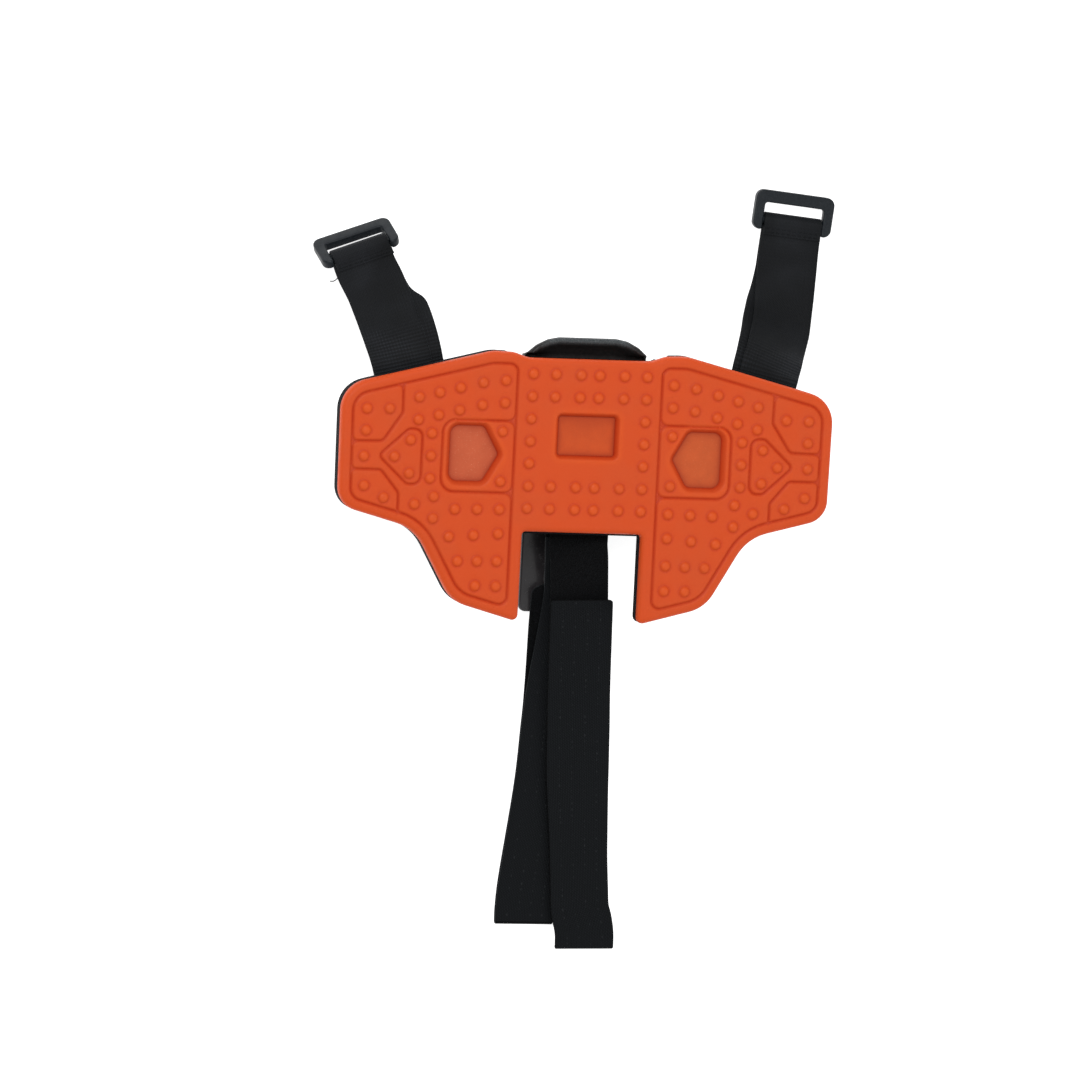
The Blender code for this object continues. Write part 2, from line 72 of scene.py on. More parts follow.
NUB_HEIGHT = 1.1
FACE_BOTTOM = node_box("centre_face")[0].z
FACE_TOP = node_box("centre_face")[1].z - NUB_HEIGHT
FOAM_BOTTOM, FOAM_TOP = (corner.z for corner in node_box("centre_foam"))
INSERT_TOP = node_box("centre_insert")[1].z
PLATE_BOTTOM = node_box("base_plate")[0].z
PLATE_TOP = PLATE_BOTTOM + 2.6
HOOK_THICKNESS = 3.2
ZONE_LOW, ZONE_TOP = (corner.z for corner in node_box("strap_anchor"))
HOOK_TOP = node_box("hook")[1].z
HOOK_HALF_WIDTH = node_box("hook")[1].x
TONGUE_TIP_Y = node_box("hook")[0].y
JOINTS = {joint["name"]: joint for joint in frame["joints"]}
HINGE_X = JOINTS["right_wing_fold"]["pos_m"][0] / MM
HINGE_Z = JOINTS["right_wing_fold"]["pos_m"][2] / MM

# ---------------------------------------------------------------- camera

CAMERA_LEAN = 0.24              # how far the view leans to the pad's left, per unit of height
TOWARDS_CAMERA = Vector((-CAMERA_LEAN, 0.095, 1.0)).normalized()
CAMERA_ROLL = math.radians(2.95)
CAMERA_DISTANCE = 8000.0
VIEW_WIDTH = 450.0              # width of the view at the pad, in millimetres
AIM = (-17.6, -25.9)            # middle of the view, measured across and up from the pad's centre


def build_camera():
    """A long lens, almost straight above the pad."""
    right = Vector((1, 0, CAMERA_LEAN)).normalized()
    up = TOWARDS_CAMERA.cross(right)
    aim = Vector((0, 0, FACE_TOP)) + right * AIM[0] + up * AIM[1]
    across = right * math.cos(CAMERA_ROLL) + up * math.sin(CAMERA_ROLL)
    upward = up * math.cos(CAMERA_ROLL) - right * math.sin(CAMERA_ROLL)
    data = bpy.data.cameras.new("camera")
    data.sensor_width = 36.0
    data.lens = data.sensor_width * CAMERA_DISTANCE / VIEW_WIDTH
    data.clip_end = 100
    camera = bpy.data.objects.new("camera", data)
    bpy.context.scene.collection.objects.link(camera)
    turn = Matrix((across, upward, TOWARDS_CAMERA)).transposed()
    place = (aim + TOWARDS_CAMERA * CAMERA_DISTANCE) * MM
    camera.matrix_world = Matrix.Translation(place) @ turn.to_4x4()
    bpy.context.scene.camera = camera


# ---------------------------------------------------------------- outlines

NOTCH_HALF_WIDTH = 25.5
NOTCH_TOP = -22.4
EDGE_SLOPE = 0.2545             # fall of the wing's top edge, away from the middle


def rounded(corners, step_deg=8.0):
    """Outline through (x, y, radius) corners, each corner replaced by an arc of its radius."""
    points = []
    count = len(corners)
    for index, (x, y, radius) in enumerate(corners):
        here = Vector((x, y))
        back = (Vector(corners[index - 1][:2]) - here).normalized()
        ahead = (Vector(corners[(index + 1) % count][:2]) - here).normalized()
        half = back.angle(ahead) / 2
        if radius <= 0 or half > math.radians(89.5):
            points.append(here)
            continue
        centre = here + (back + ahead).normalized() * (radius / math.sin(half))
        start = here + back * (radius / math.tan(half)) - centre
        sweep = start.angle_signed(here + ahead * (radius / math.tan(half)) - centre)
        steps = max(2, round(abs(math.degrees(sweep)) / step_deg))
        for number in range(steps + 1):
            turn = -sweep * number / steps
            points.append(centre + Vector((start.x * math.cos(turn) - start.y * math.sin(turn),
                                           start.x * math.sin(turn) + start.y * math.cos(turn))))
    return points


def resample(points, spacing, closed=True):
    """Points evenly spaced along a polyline."""
    line = np.array([tuple(p) for p in points], float)
    if closed:
        line = np.vstack([line, line[:1]])
    lengths = np.concatenate([[0], np.cumsum(np.linalg.norm(np.diff(line, axis=0), axis=1))])
    count = max(3, int(round(lengths[-1] / spacing)))
    stops = np.linspace(0, lengths[-1], count + 1)
    if closed:
        stops = stops[:-1]
    return np.stack([np.interp(stops, lengths, line[:, k]) for k in range(line.shape[1])], -1)


def inset(points, distance):
    """A closed outline moved inwards (or outwards, for a negative distance)."""
    line = np.asarray([tuple(p) for p in points], float)
    before = line - np.roll(line, 1, axis=0)
    after = np.roll(line, -1, axis=0) - line
    normals = []
    for step in (before, after):
        length = np.linalg.norm(step, axis=1, keepdims=True)
        step = step / np.maximum(length, 1e-9)
        normals.append(np.stack([-step[:, 1], step[:, 0]], -1))
    middle = normals[0] + normals[1]
    middle /= np.maximum(np.linalg.norm(middle, axis=1, keepdims=True), 1e-9)
    spread = np.maximum((middle * normals[0]).sum(1, keepdims=True), 0.5)
    area = 0.5 * np.sum(line[:, 0] * np.roll(line[:, 1], -1) - np.roll(line[:, 0], -1) * line[:, 1])
    return line + middle / spread * distance * math.copysign(1, area)


def line_distance(points, line, closed):
    """Distance of each point from a polyline."""
    line = np.asarray([tuple(p) for p in line], float)
    if closed:
        line = np.vstack([line, line[:1]])
    best = np.full(len(points), 1e9)
    for start, end in zip(line, line[1:]):
        along = end - start
        length = float(along @ along)
        if length < 1e-12:
            continue
        rel = points - start
        t = np.clip(rel @ along / length, 0, 1)
        best = np.minimum(best, ((rel - t[:, None] * along) ** 2).sum(1))
    return np.sqrt(best)


def inside(points, outline):
    """Whether each point lies inside a closed outline."""
    line = np.asarray([tuple(p) for p in outline], float)
    result = np.zeros(len(points), bool)
    x, y = points[:, 0], points[:, 1]
    for (x0, y0), (x1, y1) in zip(line, np.roll(line, -1, axis=0)):
        if y0 == y1:
            continue
        crosses = (y0 > y) != (y1 > y)
        result ^= crosses & (x < (x1 - x0) * (y - y0) / (y1 - y0) + x0)
    return result


def ease(share):
    """Smooth step from 0 to 1."""
    share = np.clip(share, 0, 1)
    return share * share * (3 - 2 * share)


def mirrored(points):
    return [(-x, y) for x, y in points]


def both_sides(half):
    """Rounded outline from the corners of its right half, in order, and their mirror images."""
    return rounded(half + [(-x, y, radius) for x, y, radius in reversed(half)])


def rectangle(left, bottom, right, top, radius, step_deg=8.0):
    return rounded([(left, bottom, radius), (right, bottom, radius), (right, top, radius),
                    (left, top, radius)], step_deg)


def pad_outline():
    """The whole pad: a plain top, two wings and two legs beside the notch."""
    return both_sides([(NOTCH_HALF_WIDTH, NOTCH_TOP, 1.5), (NOTCH_HALF_WIDTH, -60.4, 2.4), (54.5, -52.4, 16),
                       (71.4, -22.6, 20), (104.8, -13.6, 10), (105.5, 36.4, 13), (41.5, 52.7, 14),
                       (32.5, 52.4, 8), (26.2, 50.2, 8)])


def wing_panel():
    """The panel inside the wing's border groove; its inner side is the fold line."""
    return rounded([(HINGE_X, 47.6, 3.5), (HINGE_X, -54.2, 3.5), (51.6, -48.6, 12), (68.6, -18.6, 24),
                    (100.0, -10.2, 5.5), (100.7, 32.6, 8), (41.5, 47.7, 12)])


def pentagon_window():
    return rounded([(37.4, 9.5, 2), (43.9, -2.0, 3), (58, -2.0, 3.5), (58, 21.1, 3.5), (43.9, 21.1, 3)])


def centre_window():
    return rectangle(-12, 10.0, 12, 26.2, 0.8, 20)


def open_line(corners):
    """An open groove line with rounded bends."""
    points = [tuple(p) for p in rounded(corners)]
    points[0], points[-1] = corners[0][:2], corners[-1][:2]
    return points


def fillet(x, y, across, up, radius):
    """Short arc that rounds off the corner where one groove runs into another."""
    return [(x + across * radius * (1 - math.cos(a)), y + up * radius * (1 - math.sin(a)))
            for a in np.linspace(0, math.pi / 2, 5)]


def wing_grooves():
    """Groove lines of the right wing, as (line, is closed)."""
    corners = [(HINGE_X, 23.6, 1, 1, 3.2), (HINGE_X, 23.6, 1, -1, 3.2),
               (HINGE_X, -6.5, 1, 1, 3.2), (HINGE_X, -6.5, 1, -1, 3.2),
               (79.6, 38.5, -1, -1, 2.0), (79.6, 37.5, 1, -1, 2.0),
               (100.4, 13.5, -1, -1, 2.2), (100.4, 13.5, -1, 1, 2.2),
               (100.3, 1.8, -1, -1, 2.2), (100.3, 1.8, -1, 1, 2.2)]
    return [(fillet(*corner), False) for corner in corners] + [
        (wing_panel(), True),
        (open_line([(HINGE_X, 23.6, 0), (61.8, 23.6, 5.5), (61.8, -6.5, 5.5), (HINGE_X, -6.5, 0)]), False),
        (open_line([(79.6, 37.8, 0), (79.3, 25.9, 2.5), (87.3, 13.8, 2.5), (100.4, 13.5, 0)]), False),
        (open_line([(100.3, 1.8, 0), (87.5, 1.8, 2.5), (79.6, -7.7, 2.5), (79.6, -16.0, 0)]), False),
        (rounded([(70.4, 19.2, 3.5), (76.3, 19.2, 3), (88.8, 7.7, 2), (76.3, -3.9, 3), (70.4, -3.9, 3.5)]),
         True)]


def top_edge(x):
    """Height of the pad's top edge: level in the middle, falling along the wing."""
    return 52.6 - EDGE_SLOPE * max(0.0, x - 41.0)


def row(x, y, dx, dy, count):
    return [(x + dx * i, y + dy * i) for i in range(count)]


def wing_nubs():
    nubs = [(x, top_edge(x) - drop) for drop in (12.0, 21.4) for x in (36, 45.6, 55.2, 64, 72.6)]
    nubs += [(85, 27.4), (94.7, 27.2), (94.7, 18.1), (95.1, 7.3), (94.5, -5), (85.9, -9.8)]
    nubs += row(66.5, 17.6, 0, -9.4, 3)
    nubs += [(75.5, 14.6), (82.1, 7.5), (75.5, 0.6)]
    nubs += [(36.4, 19.2), (36.4, -1.7)]
    nubs += [(64.5, -8.8), (72.6, -12.2), (64.4, -17.9)]
    nubs += row(36.2, -13.4, 9.5, -0.2, 3)
    nubs += row(36.2, -23.6, 10.5, -0.9, 3)
    nubs += row(36.2, -35.1, 8.4, -0.2, 3)
    nubs += row(36.1, -45.6, 8.9, 0, 2)
    return nubs


def centre_nubs():
    columns = (-24.4, -14.7, -4.0, 4.0, 14.7, 24.4)
    nubs = [(x, y) for y in (43.7, 34.3, -3.3, -12.6) for x in columns]
    nubs += [(x, y) for y in (24.9, 15.5, 6.2) for x in (columns[0], columns[-1])]
    return nubs


# ---------------------------------------------------------------- mesh helpers

def finish_object(name, bm, material, smooth_deg=40):
    """Make a scene object from a mesh in millimetres."""
    bmesh.ops.scale(bm, verts=bm.verts, vec=(MM, MM, MM))
    bmesh.ops.recalc_face_normals(bm, faces=bm.faces)
    mesh = bpy.data.meshes.new(name)
    bm.to_mesh(mesh)
    bm.free()
    mesh.shade_smooth()
    mesh.set_sharp_from_angle(angle=math.radians(smooth_deg))
    mesh.materials.append(material)
    made = bpy.data.objects.new(name, mesh)
    bpy.context.scene.collection.objects.link(made)
    return made


def point_attribute(made, name, values):
    """Store one number per vertex for the object's material to read."""
    attribute = made.data.attributes.new(name, "FLOAT", "POINT")
    attribute.data.foreach_set("value", np.array(values, np.float32))


def join_rings(bm, rings, upper=range(0)):
    """Skin over rings of vertices, capped at both ends; the upper places in a ring take material 1."""
    count = len(rings[0])
    for first, second in zip(rings, rings[1:]):
        for i in range(count):
            j = (i + 1) % count
            face = bm.faces.new((first[i], first[j], second[j], second[i]))
            face.material_index = int(i in upper)
    bm.faces.new(rings[0][::-1])
    bm.faces.new(rings[-1])


def stack_loops(bm, loops, place=Vector):
    """Join closed loops of points into a skin and cap both ends."""
    join_rings(bm, [[bm.verts.new(place(Vector(point))) for point in loop] for loop in loops])


def rounded_slab_loops(outline, low, high, low_radius, high_radius, steps=5):
    """Loops of a flat piece whose lower and upper edges are rounded."""
    loops = []
    for a in np.linspace(0, math.pi / 2, steps + 1):
        shape = inset(outline, low_radius * (1 - math.sin(a)))
        loops.append([(x, y, low + low_radius * (1 - math.cos(a))) for x, y in shape])
    for a in np.linspace(0, math.pi / 2, steps + 1):
        shape = inset(outline, high_radius * (1 - math.cos(a)))
        loops.append([(x, y, high - high_radius * (1 - math.sin(a))) for x, y in shape])
    return loops


def slab(name, material, *sizes):
    """A flat piece with rounded edges, from the sizes that rounded_slab_loops takes."""
    bm = bmesh.new()
    stack_loops(bm, rounded_slab_loops(*sizes))
    return finish_object(name, bm, material)


def draped(name, outline, top, bottom, material, spacing=0.8):
    """A closed body over an outline, between two heights that are functions of the place."""
    edge = resample(outline, spacing)
    points = [tuple(p) for p in edge]
    for inwards, step in ((0.2, 1), (0.5, 2), (0.9, 2)):
        points += [tuple(p) for p in inset(edge, inwards)[::step]]
    low, high = edge.min(0), edge.max(0)
    grid = np.array([(x, y) for x in np.arange(low[0], high[0], spacing)
                     for y in np.arange(low[1], high[1], spacing)])
    deep = inside(grid, edge) & (line_distance(grid, edge, True) > 1.2)
    points += [tuple(p) for p in grid[deep]]
    links = [(i, (i + 1) % len(edge)) for i in range(len(edge))]
    flat, _, triangles, *_ = delaunay_2d_cdt([Vector(p) for p in points], links, [], 1, 1e-5)
    flat = np.array([tuple(p) for p in flat])
    bm = bmesh.new()
    for heights, flipped in ((top(flat), False), (bottom(flat), True)):
        verts = [bm.verts.new((*place, height)) for place, height in zip(flat, heights)]
        for triangle in triangles:
            corners = [verts[i] for i in triangle]
            bm.faces.new(corners[::-1] if flipped else corners)
    bm.verts.index_update()
    bm.verts.ensure_lookup_table()
    count = len(flat)
    rims = [e for e in bm.edges if len(e.link_faces) == 1 and e.verts[0].index < count]
    for rim in rims:
        a, b = (v.index for v in rim.verts)
        bm.faces.new((bm.verts[a], bm.verts[b], bm.verts[b + count], bm.verts[a + count]))
    return finish_object(name, bm, material, 60), flat


def turned(bm, x, y, profile, sides):
    """A closed body turned about a vertical axis; the profile starts and ends on the axis."""
    rings = []
    for radius, height in profile:
        if radius == 0:
            rings.append([bm.verts.new((x, y, height))])
        else:
            rings.append([bm.verts.new((x + radius * math.cos(math.tau * i / sides),
                                        y + radius * math.sin(math.tau * i / sides), height))
                          for i in range(sides)])
    for first, second in zip(rings, rings[1:]):
        for i in range(sides):
            j = (i + 1) % sides
            if len(first) == 1:
                bm.faces.new((first[0], second[j], second[i]))
            elif len(second) == 1:
                bm.faces.new((first[i], first[j], second[0]))
            else:
                bm.faces.new((first[i], first[j], second[j], second[i]))


def curve_through(points, spacing=1.2):
    """Catmull-Rom curve through given points, then evenly spaced."""
    knots = [Vector(p) for p in points]
    knots = [2 * knots[0] - knots[1]] + knots + [2 * knots[-1] - knots[-2]]
    path = []
    for a, b, c, d in zip(knots, knots[1:], knots[2:], knots[3:]):
        for number in range(10):
            t = number / 10
            path.append(0.5 * (2 * b + (c - a) * t + (2 * a - 5 * b + 4 * c - d) * t * t
                               + (3 * b - a - 3 * c + d) * t ** 3))
    path.append(knots[-2])
    return [Vector(p) for p in resample(path, spacing, closed=False)]


def axes_along(path, index):
    """Direction of a path at one of its points, the level direction across it, and its normal."""
    before = path[max(0, index - 1)]
    after = path[min(len(path) - 1, index + 1)]
    tangent = (after - before).normalized()
    width = tangent.cross(Vector((0, 0, 1))).normalized()
    return tangent, width, width.cross(tangent)


# ---------------------------------------------------------------- material helpers

class Shader:
    """Builds a node material with short calls."""

    def __init__(self, name, roughness, specular=0.5):
        self.material = bpy.data.materials.new(name)
        self.material.use_nodes = True
        self.tree = self.material.node_tree
        self.principled = self.tree.nodes["Principled BSDF"]
        self.principled.inputs["Roughness"].default_value = roughness
        self.principled.inputs["Specular IOR Level"].default_value = specular

    def node(self, kind, **settings):
        made = self.tree.nodes.new(kind)
        for key, value in settings.items():
            setattr(made, key, value)
        return made

    def link(self, source, target):
        self.tree.links.new(source, target)

    def math(self, operation, first, second=None, third=None):
        made = self.node("ShaderNodeMath", operation=operation)
        for socket, value in zip(made.inputs, (first, second, third)):
            if value is None:
                continue
            if isinstance(value, (int, float)):
                socket.default_value = value
            else:
                self.link(value, socket)
        return made.outputs[0]

    def times(self, first, *others):
        for value in others:
            first = self.math("MULTIPLY", first, value)
        return first

    def plus(self, first, *others):
        for value in others:
            first = self.math("ADD", first, value)
        return first

    def wave(self, value, length):
        """Sine wave of a given length along a distance."""
        return self.math("SINE", self.times(value, math.tau / length))

    def attribute(self, name, output="Fac"):
        return self.node("ShaderNodeAttribute", attribute_name=name).outputs[output]

    def coords(self):
        """Object coordinates in millimetres."""
        source = self.node("ShaderNodeTexCoord").outputs["Object"]
        made = self.node("ShaderNodeVectorMath", operation="SCALE")
        made.inputs["Scale"].default_value = 1.0 / MM
        self.link(source, made.inputs[0])
        return made.outputs[0]

    def noise(self, size, detail=3.0, roughness=0.55):
        """Noise with features about as large as size, in millimetres."""
        made = self.node("ShaderNodeTexNoise")
        made.inputs["Scale"].default_value = 1.0 / size
        made.inputs["Detail"].default_value = detail
        made.inputs["Roughness"].default_value = roughness
        self.link(self.coords(), made.inputs["Vector"])
        return made.outputs["Fac"]

    def cells(self, size):
        """Distance from the middles of random cells about as large as size, in millimetres."""
        made = self.node("ShaderNodeTexVoronoi", feature="F1")
        made.inputs["Scale"].default_value = 1.0 / size
        self.link(self.coords(), made.inputs["Vector"])
        return made.outputs["Distance"]

    def ramp(self, value, stops):
        """Colour ramp through (position, colour) stops; colours are linear."""
        made = self.node("ShaderNodeValToRGB")
        elements = made.color_ramp.elements
        while len(elements) < len(stops):
            elements.new(0.5)
        for element, (position, colour) in zip(elements, stops):
            element.position = position
            element.color = (*colour, 1)
        self.link(value, made.inputs["Fac"])
        return made.outputs["Color"]

    def scale_range(self, value, low, high, to_low, to_high):
        made = self.node("ShaderNodeMapRange")
        for key, number in (("From Min", low), ("From Max", high), ("To Min", to_low), ("To Max", to_high)):
            made.inputs[key].default_value = number
        self.link(value, made.inputs["Value"])
        return made.outputs["Result"]

    def mix(self, factor, first, second):
        made = self.node("ShaderNodeMix", data_type="RGBA")
        for socket, value in ((made.inputs[0], factor), (made.inputs[6], first), (made.inputs[7], second)):
            if isinstance(value, (int, float)):
                socket.default_value = value
            elif isinstance(value, tuple):
                socket.default_value = (*value, 1)
            else:
                self.link(value, socket)
        return made.outputs[2]

    def colour(self, value):
        if isinstance(value, tuple):
            self.principled.inputs["Base Color"].default_value = (*value, 1)
        else:
            self.link(value, self.principled.inputs["Base Color"])

    def roughness(self, value):
        self.link(value, self.principled.inputs["Roughness"])

    def bump(self, height, distance, strength=1.0):
        """Bump whose height runs from 0 to 1 over a distance in millimetres."""
        made = self.node("ShaderNodeBump")
        made.inputs["Distance"].default_value = distance * MM
        made.inputs["Strength"].default_value = strength
        self.link(height, made.inputs["Height"])
        self.link(made.outputs["Normal"], self.principled.inputs["Normal"])

    def sheen(self, weight, tint=(1, 1, 1), roughness=0.5):
        self.principled.inputs["Sheen Weight"].default_value = weight
        self.principled.inputs["Sheen Roughness"].default_value = roughness
        self.principled.inputs["Sheen Tint"].default_value = (*tint, 1)


def face_rubber():
    """Orange silicone with a fine moulded grain; painted highlight makes it paler on raised edges and nubs,
    painted shade deeper red in the grooves and window walls.
    """
    s = Shader("face_rubber", 0.55, 0.2)
    relief_light = s.attribute("relief_light")
    mottle = s.noise(14, 4)
    fine = s.noise(0.9, 3)
    # painted highlight and shade: darker reds where the face is sunken (grooves, moats, window walls), paler
    # orange on raised edges and nub tops
    base = s.ramp(relief_light, [(0.0, (0.42, 0.027, 0.006)), (0.40, (0.575, 0.057, 0.009)),
                           (0.52, (0.615, 0.068, 0.0095)), (1.0, (0.70, 0.094, 0.010))])
    dull = s.mix(s.scale_range(mottle, 0.45, 0.72, 0.0, 0.28), base, (0.53, 0.076, 0.019))
    dusty = s.mix(s.scale_range(fine, 0.4, 0.8, 0.0, 0.14), dull, (0.68, 0.11, 0.02))
    s.colour(dusty)
    s.roughness(s.scale_range(s.noise(5, 3), 0.3, 0.7, 0.44, 0.62))
    s.bump(s.plus(s.noise(0.35, 2), s.times(s.noise(2.5, 2), 0.8)), 0.035)
    return s.material


def insert_rubber(name, base, fleck, dark):
    """Window panel: granulated rubber with pale and dark flecks, and painted shade towards the window's
    walls.
    """
    s = Shader(name, 0.68, 0.25)
    pale = s.scale_range(s.cells(0.55), 0.16, 0.30, 1.0, 0.0)
    some = s.scale_range(s.noise(1.1, 2), 0.50, 0.62, 0.0, 1.0)
    shade = s.mix(s.scale_range(s.noise(6, 4), 0.35, 0.7, 0.0, 0.55), base, dark)
    flecked = s.mix(s.times(pale, some, 0.6), shade, fleck)
    # painted shade: the shade attribute darkens the panel towards its edges
    s.colour(s.mix(s.times(s.attribute("shade"), 0.8), flecked, (0.30, 0.028, 0.006)))
    s.bump(s.cells(0.6), 0.1, 0.7)
    return s.material


def foam_black():
    """Closed-cell foam."""
    s = Shader("foam", 0.9, 0.1)
    s.colour(s.ramp(s.noise(0.8, 4), [(0.3, (0.004, 0.004, 0.0045)), (0.75, (0.012, 0.012, 0.014))]))
    s.bump(s.cells(0.5), 0.12, 0.7)
    return s.material


def textured_plastic(name, dark, pale, roughness, grain, depth, specular=0.5):
    """Moulded plastic with a spark-eroded texture."""
    s = Shader(name, roughness, specular)
    height = s.plus(s.noise(grain, 3), s.times(s.cells(grain * 1.3), 0.5))
    s.colour(s.ramp(s.noise(grain * 1.5, 3), [(0.35, dark), (0.7, pale)]))
    s.roughness(s.scale_range(s.noise(3, 3), 0.3, 0.7, roughness - 0.07, roughness + 0.08))
    s.bump(height, depth)
    return s.material


def lip_plastic():
    """Black lip whose raised rim is a coarsely textured strip, painted paler as a highlight where it faces
    the light; the faint red tint of the black is a painted reflection of the orange face.
    """
    s = Shader("lip_plastic", 0.42, 0.3)
    rim = s.attribute("relief_light")
    grain = s.noise(0.55, 4, 0.7)
    lit_strip = s.ramp(grain, [(0.35, (0.022, 0.026, 0.028)), (0.55, (0.055, 0.062, 0.066)),
                           (0.75, (0.15, 0.165, 0.17))])
    # black body; its faint red tint is a painted reflection of the orange face
    body = s.ramp(s.noise(1.2, 3), [(0.35, (0.007, 0.006, 0.006)), (0.7, (0.014, 0.012, 0.012))])
    # painted highlight: the rim value mixes the paler grey strip over the black body
    s.colour(s.mix(rim, body, lit_strip))
    s.bump(s.times(grain, rim), 0.3)
    return s.material


def glossy_plastic():
    """The hook's dark-grey plastic, glossy with fine wear."""
    s = Shader("hook_plastic", 0.2, 0.6)
    s.colour(s.ramp(s.noise(20, 2), [(0.3, (0.030, 0.027, 0.029)), (0.75, (0.042, 0.038, 0.041))]))
    s.roughness(s.scale_range(s.noise(2.5, 5, 0.65), 0.35, 0.75, 0.14, 0.34))
    s.bump(s.noise(8, 2), 0.05, 0.4)
    return s.material


def weave_height(s, pitch_across, pitch_along=0.55):
    """Plain-weave relief, and the tape's own across and along distances that it comes from."""
    tape = s.node("ShaderNodeSeparateXYZ")
    s.link(s.attribute("tape", "Vector"), tape.inputs[0])
    across, along = tape.outputs["X"], tape.outputs["Y"]
    column = s.math("DIVIDE", across, pitch_across)
    step = s.times(s.math("FLOOR", column), math.pi)
    rib = s.math("ABSOLUTE", s.math("SINE", s.times(column, math.pi)))
    pick = s.math("SINE", s.plus(s.times(along, math.pi / pitch_along), step))
    return s.times(rib, s.math("MULTIPLY_ADD", pick, 0.35, 0.65)), across, along


def webbing():
    """Black polyester webbing: lengthwise ribs, with cross ribs showing where it leaves the pad."""
    s = Shader("webbing", 0.6, 0.14)
    height, across, along = weave_height(s, 0.62)
    near_pad = s.scale_range(along, 32, 40, 1.0, 0.12)
    patch = s.times(s.scale_range(s.noise(11, 2), 0.42, 0.6, 0.1, 1.0),
                    s.scale_range(along, 38, 62, 1.0, 0.2))
    ribs = s.plus(s.times(s.wave(along, 1.45), near_pad, 0.22), s.times(s.wave(across, 1.36), patch, 0.14))
    thread = s.times(s.noise(0.25, 2), 0.3)
    worn = s.scale_range(s.noise(26, 2), 0.4, 0.62, 0.0, 0.3)
    tone = s.plus(s.times(height, 0.25), thread, ribs, worn, 0.08)
    s.colour(s.ramp(tone, [(0.15, (0.002, 0.0025, 0.003)), (0.55, (0.006, 0.007, 0.0085)),
                           (0.95, (0.017, 0.019, 0.023))]))
    s.bump(s.plus(s.times(height, 0.6), ribs, thread), 0.16)
    s.sheen(0.03, (0.75, 0.85, 0.95), 0.4)
    return s.material


def tape_back():
    """Woven back of the hook-and-loop tape, with broken pale columns of loop yarn."""
    s = Shader("tape_back", 0.7, 0.1)
    height, across, along = weave_height(s, 0.7)
    from_column = s.math("PINGPONG", s.plus(across, 12.5), 2.5)
    column = s.scale_range(from_column, 0.0, 0.45, 1.0, 0.0)
    dash = s.scale_range(s.wave(along, 2.6), 0.1, 0.7, 0.0, 1.0)
    patchy = s.scale_range(s.noise(3.2, 4), 0.46, 0.64, 0.0, 1.0)
    dots = s.times(column, dash, patchy)
    tone = s.ramp(s.plus(s.times(height, 0.5), s.times(s.noise(0.4, 3), 0.5)),
                  [(0.2, (0.002, 0.0025, 0.003)), (0.8, (0.009, 0.0105, 0.0125))])
    s.colour(s.mix(s.times(dots, 0.22), tone, (0.07, 0.075, 0.08)))
    s.bump(s.plus(height, s.times(dots, 0.5)), 0.16)
    s.sheen(0.02, (0.8, 0.88, 0.95), 0.45)
    return s.material


def tape_loops():
    """Napped loop side of the tape."""
    s = Shader("tape_loops", 0.95, 0.08)
    clump = s.noise(1.3, 5, 0.7)
    curl = s.cells(0.45)
    s.colour(s.ramp(s.times(clump, s.math("SUBTRACT", 1.2, curl)),
                    [(0.25, (0.0008, 0.0008, 0.001)), (0.6, (0.0035, 0.004, 0.005)),
                     (0.85, (0.02, 0.022, 0.025))]))
    s.bump(s.plus(clump, curl), 0.5)
    s.sheen(0.02, (0.8, 0.85, 0.9), 0.6)
    return s.material


def steel():
    """Worn bright steel of the rivets and screws."""
    s = Shader("fastener_steel", 0.32, 0.5)
    s.principled.inputs["Metallic"].default_value = 1.0
    s.colour(s.ramp(s.noise(1.5, 4), [(0.3, (0.38, 0.38, 0.40)), (0.7, (0.58, 0.58, 0.60))]))
    s.roughness(s.scale_range(s.noise(0.8, 4), 0.3, 0.7, 0.25, 0.42))
    s.bump(s.noise(0.4, 3), 0.02)
    return s.material


# ---------------------------------------------------------------- the moulded face

EDGE_RADIUS = 2.3
GROOVE_HALF = 1.0               # half a groove's width
GROOVE_DEPTH = 0.75
NUB_RADIUS = 2.1
MOAT_RADIUS = 2.75              # of the shallow ring round a nub
CENTRE_SLOPE = 1.9              # width of the sloping wall round the centre window
WING_SLOPE = 2.3                # and round a wing's window
FIELD_X = 107.0                 # a field that holds the whole pad
FIELD_Y = (-62.0, 56.0)


def face_features():
    """Everything that shapes the face: its outline, windows, grooves and nubs, on both sides."""
    grooves = wing_grooves()
    grooves += [(mirrored(line), closed) for line, closed in wing_grooves()]
    windows = [(centre_window(), CENTRE_SLOPE), (pentagon_window(), WING_SLOPE),
               (mirrored(pentagon_window())[::-1], WING_SLOPE)]
    nubs = centre_nubs() + wing_nubs() + mirrored(wing_nubs())
    return pad_outline(), windows, grooves, nubs


